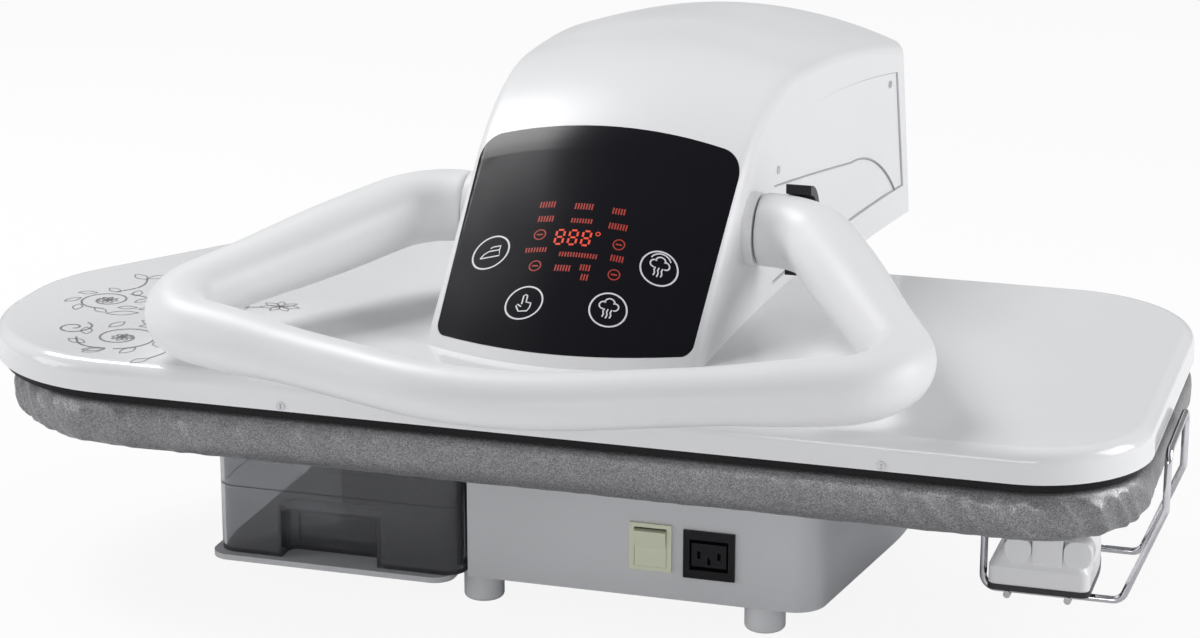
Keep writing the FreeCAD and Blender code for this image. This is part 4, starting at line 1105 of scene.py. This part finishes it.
for centre, mark in signs:
    sign_shapes.append(hoop(centre, sign_radius, ring_width, 48))
    sign_shapes += [stroke(shifted(line, centre), mark_width) for line in mark]
print_on("glass_signs", "head", sign_ink, sign_shapes, on_glass)

digit_lefts = (-19.4, -9.9, -0.4)
digit_middle = 105.0
digit_width = 5.6
digit_half = 5.8
digit_stroke = 1.5
digit_gap = 1.0
digit_shapes = []
for left in digit_lefts:
    right = left + digit_width
    for y in (digit_middle - digit_half, digit_middle, digit_middle + digit_half):
        level = flat_line((left + digit_gap, y), (right - digit_gap, y))
        digit_shapes.append(stroke(level, digit_stroke))
    for x in (left, right):
        for low in (digit_middle - digit_half, digit_middle):
            upright = flat_line((x, low + digit_gap), (x, low + digit_half - digit_gap))
            digit_shapes.append(stroke(upright, digit_stroke))
digit_shapes.append(hoop((10.0, 109.4), 1.5, 0.7, 12))
print_on("display_digits", "head", display_red, digit_shapes, on_glass)

dim_rows = (
    # across, up, count of bars
    (-31.6, 132.2, 6), (-5.0, 131.0, 7), (20.4, 129.8, 5), (-30.2, 120.2, 6),
    (-4.0, 119.0, 8), (22.5, 117.5, 7), (-0.2, 91.0, 14), (27.4, 92.2, 5),
    (-31.3, 94.5, 8), (-8.8, 79.6, 6), (7.1, 81.3, 4), (8.3, 73.6, 3),
)
dim_rings = ((-31.4, 107.1), (26.3, 103.4), (-28.8, 81.3), (28.2, 79.3))
bar_pitch = 2.0
bar_width = 1.1
dim_shapes = []
for x, y, count in dim_rows:
    tall = 1.9 if count > 7 else 2.5
    for i in range(count):
        bar = x + (i - (count - 1) / 2) * bar_pitch
        dim_shapes.append(stroke(flat_line((bar, y - tall), (bar, y + tall)), bar_width))
for centre in dim_rings:
    dim_shapes.append(hoop(centre, 4.0, 0.9, 20))
    dim_shapes.append(stroke(shifted(flat_line((-2.2, 0.0), (2.2, 0.0)), centre), 1.2))
print_on("display_marks", "head", display_dim, dim_shapes, on_glass)


# Handle: a thick white loop of moulded plastic on a shaft through the hood, with a black clip.
# The loop is moulded in one, with an even satin skin and no sharp edge.
grip_satin = moulded_finish("grip_satin", casing_white, 0.42, None, casing_variation)
dress(dark_moulding, "handle_clip")
skin_grid = 2.2 * mm
skin_passes = 10


def even_skin(name, node, grid, passes):
    """A solid's form as one even, softened skin."""
    mesh = solids[node].data.copy()
    mesh.transform(solids[node].matrix_world)
    piece = bring_in(name, mesh)
    weld = piece.modifiers.new("weld", "WELD")
    weld.merge_threshold = weld_gap
    skin = piece.modifiers.new("skin", "REMESH")
    skin.mode = "VOXEL"
    skin.voxel_size = grid
    skin.use_smooth_shade = True
    relax = piece.modifiers.new("relax", "SMOOTH")
    relax.factor = 0.5
    relax.iterations = passes
    settled = piece.evaluated_get(bpy.context.evaluated_depsgraph_get())
    made = bpy.data.meshes.new_from_object(settled)
    piece.modifiers.clear()
    piece.data = made
    made.name = name
    made.materials.clear()
    return piece


handle_loop = even_skin("handle_loop", "handle_grip", skin_grid, skin_passes)
handle_loop.data.materials.append(grip_satin)
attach(handle_loop, "handle")
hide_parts("handle_grip")


# Hand iron: a small white steam iron that stands in a cradle of chromed wire under the board's
# right end. Its sole is a dark coated plate, and a blue window shows the water.
iron_white = (0.84, 0.84, 0.85)
sole_black = (0.02, 0.02, 0.022)
water_blue = (0.12, 0.2, 0.55)
chrome = (0.72, 0.72, 0.74)
iron_shell = moulded_finish("iron_shell", iron_white, 0.2, (300.0, 0.02), 0.015)
sole_coat = moulded_finish("sole_coat", sole_black, 0.3, (900.0, 0.04), 0.2)
blue_clear = clear_finish("blue_clear", water_blue, 0.04, 0.2)
wire_chrome = rolled_finish("wire_chrome", chrome, 0.12, (60.0, 60.0, 60.0))
dress(iron_shell, "iron_body", "iron_handle")
dress(sole_coat, "iron_soleplate")
dress(blue_clear, "iron_window")
dress(wire_chrome, "iron_rest")


def upright_plate(name, low, high, corner, front, back, bevel):
    """A plate that faces the front: rounded outline from low to high (x, z), softened edges."""
    work = bmesh.new()
    left, right = low[0] + corner, high[0] - corner
    bottom, top = low[1] + corner, high[1] - corner
    middles = ((right, bottom, -90), (right, top, 0), (left, top, 90), (left, bottom, 180))
    rim = []
    for x, z, start in middles:
        for point in arc((x, z), corner, start, start + 90, 8):
            rim.append(work.verts.new((point.x, front, point.y)))
    pushed = bmesh.ops.extrude_face_region(work, geom=[work.faces.new(rim)])
    back_points = [item for item in pushed["geom"] if isinstance(item, bmesh.types.BMVert)]
    bmesh.ops.translate(work, verts=back_points, vec=(0.0, back - front, 0.0))
    bmesh.ops.recalc_face_normals(work, faces=work.faces)
    front_edges = [edge for edge in work.edges
                   if all(abs(vertex.co.y - front) < 1e-6 for vertex in edge.verts)]
    bmesh.ops.bevel(work, geom=front_edges, offset=bevel, segments=3, affect="EDGES", profile=0.5)
    mesh = bpy.data.meshes.new(name)
    work.to_mesh(mesh)
    work.free()
    smooth_faces(mesh)
    mesh.materials.append(iron_shell)
    piece = bring_in(name, mesh)
    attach(piece, "hand_iron")


heel_low, heel_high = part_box("iron_body")
heel_front = heel_low.y - 0.4 * mm
heel_back = heel_front + 14.0 * mm
heel_bottom = heel_high.z - 10.0 * mm
heel_top = heel_high.z + 9.0 * mm
heel_bevel = 1.0 * mm
heel_pieces = (
    # name, left, right, corner radius
    ("iron_heel_pill", 313.0, 331.0, 8.6),
    ("iron_heel_block", 331.4, 351.6, 1.6),
    ("iron_heel_lobe", 352.0, 371.0, 8.0),
)
for name, left, right, corner in heel_pieces:
    upright_plate(name, (left * mm, heel_bottom), (right * mm, heel_top), corner * mm,
                  heel_front, heel_back, heel_bevel)


# Last update of the view layer, so that every placement is current.
bpy.context.view_layer.update()
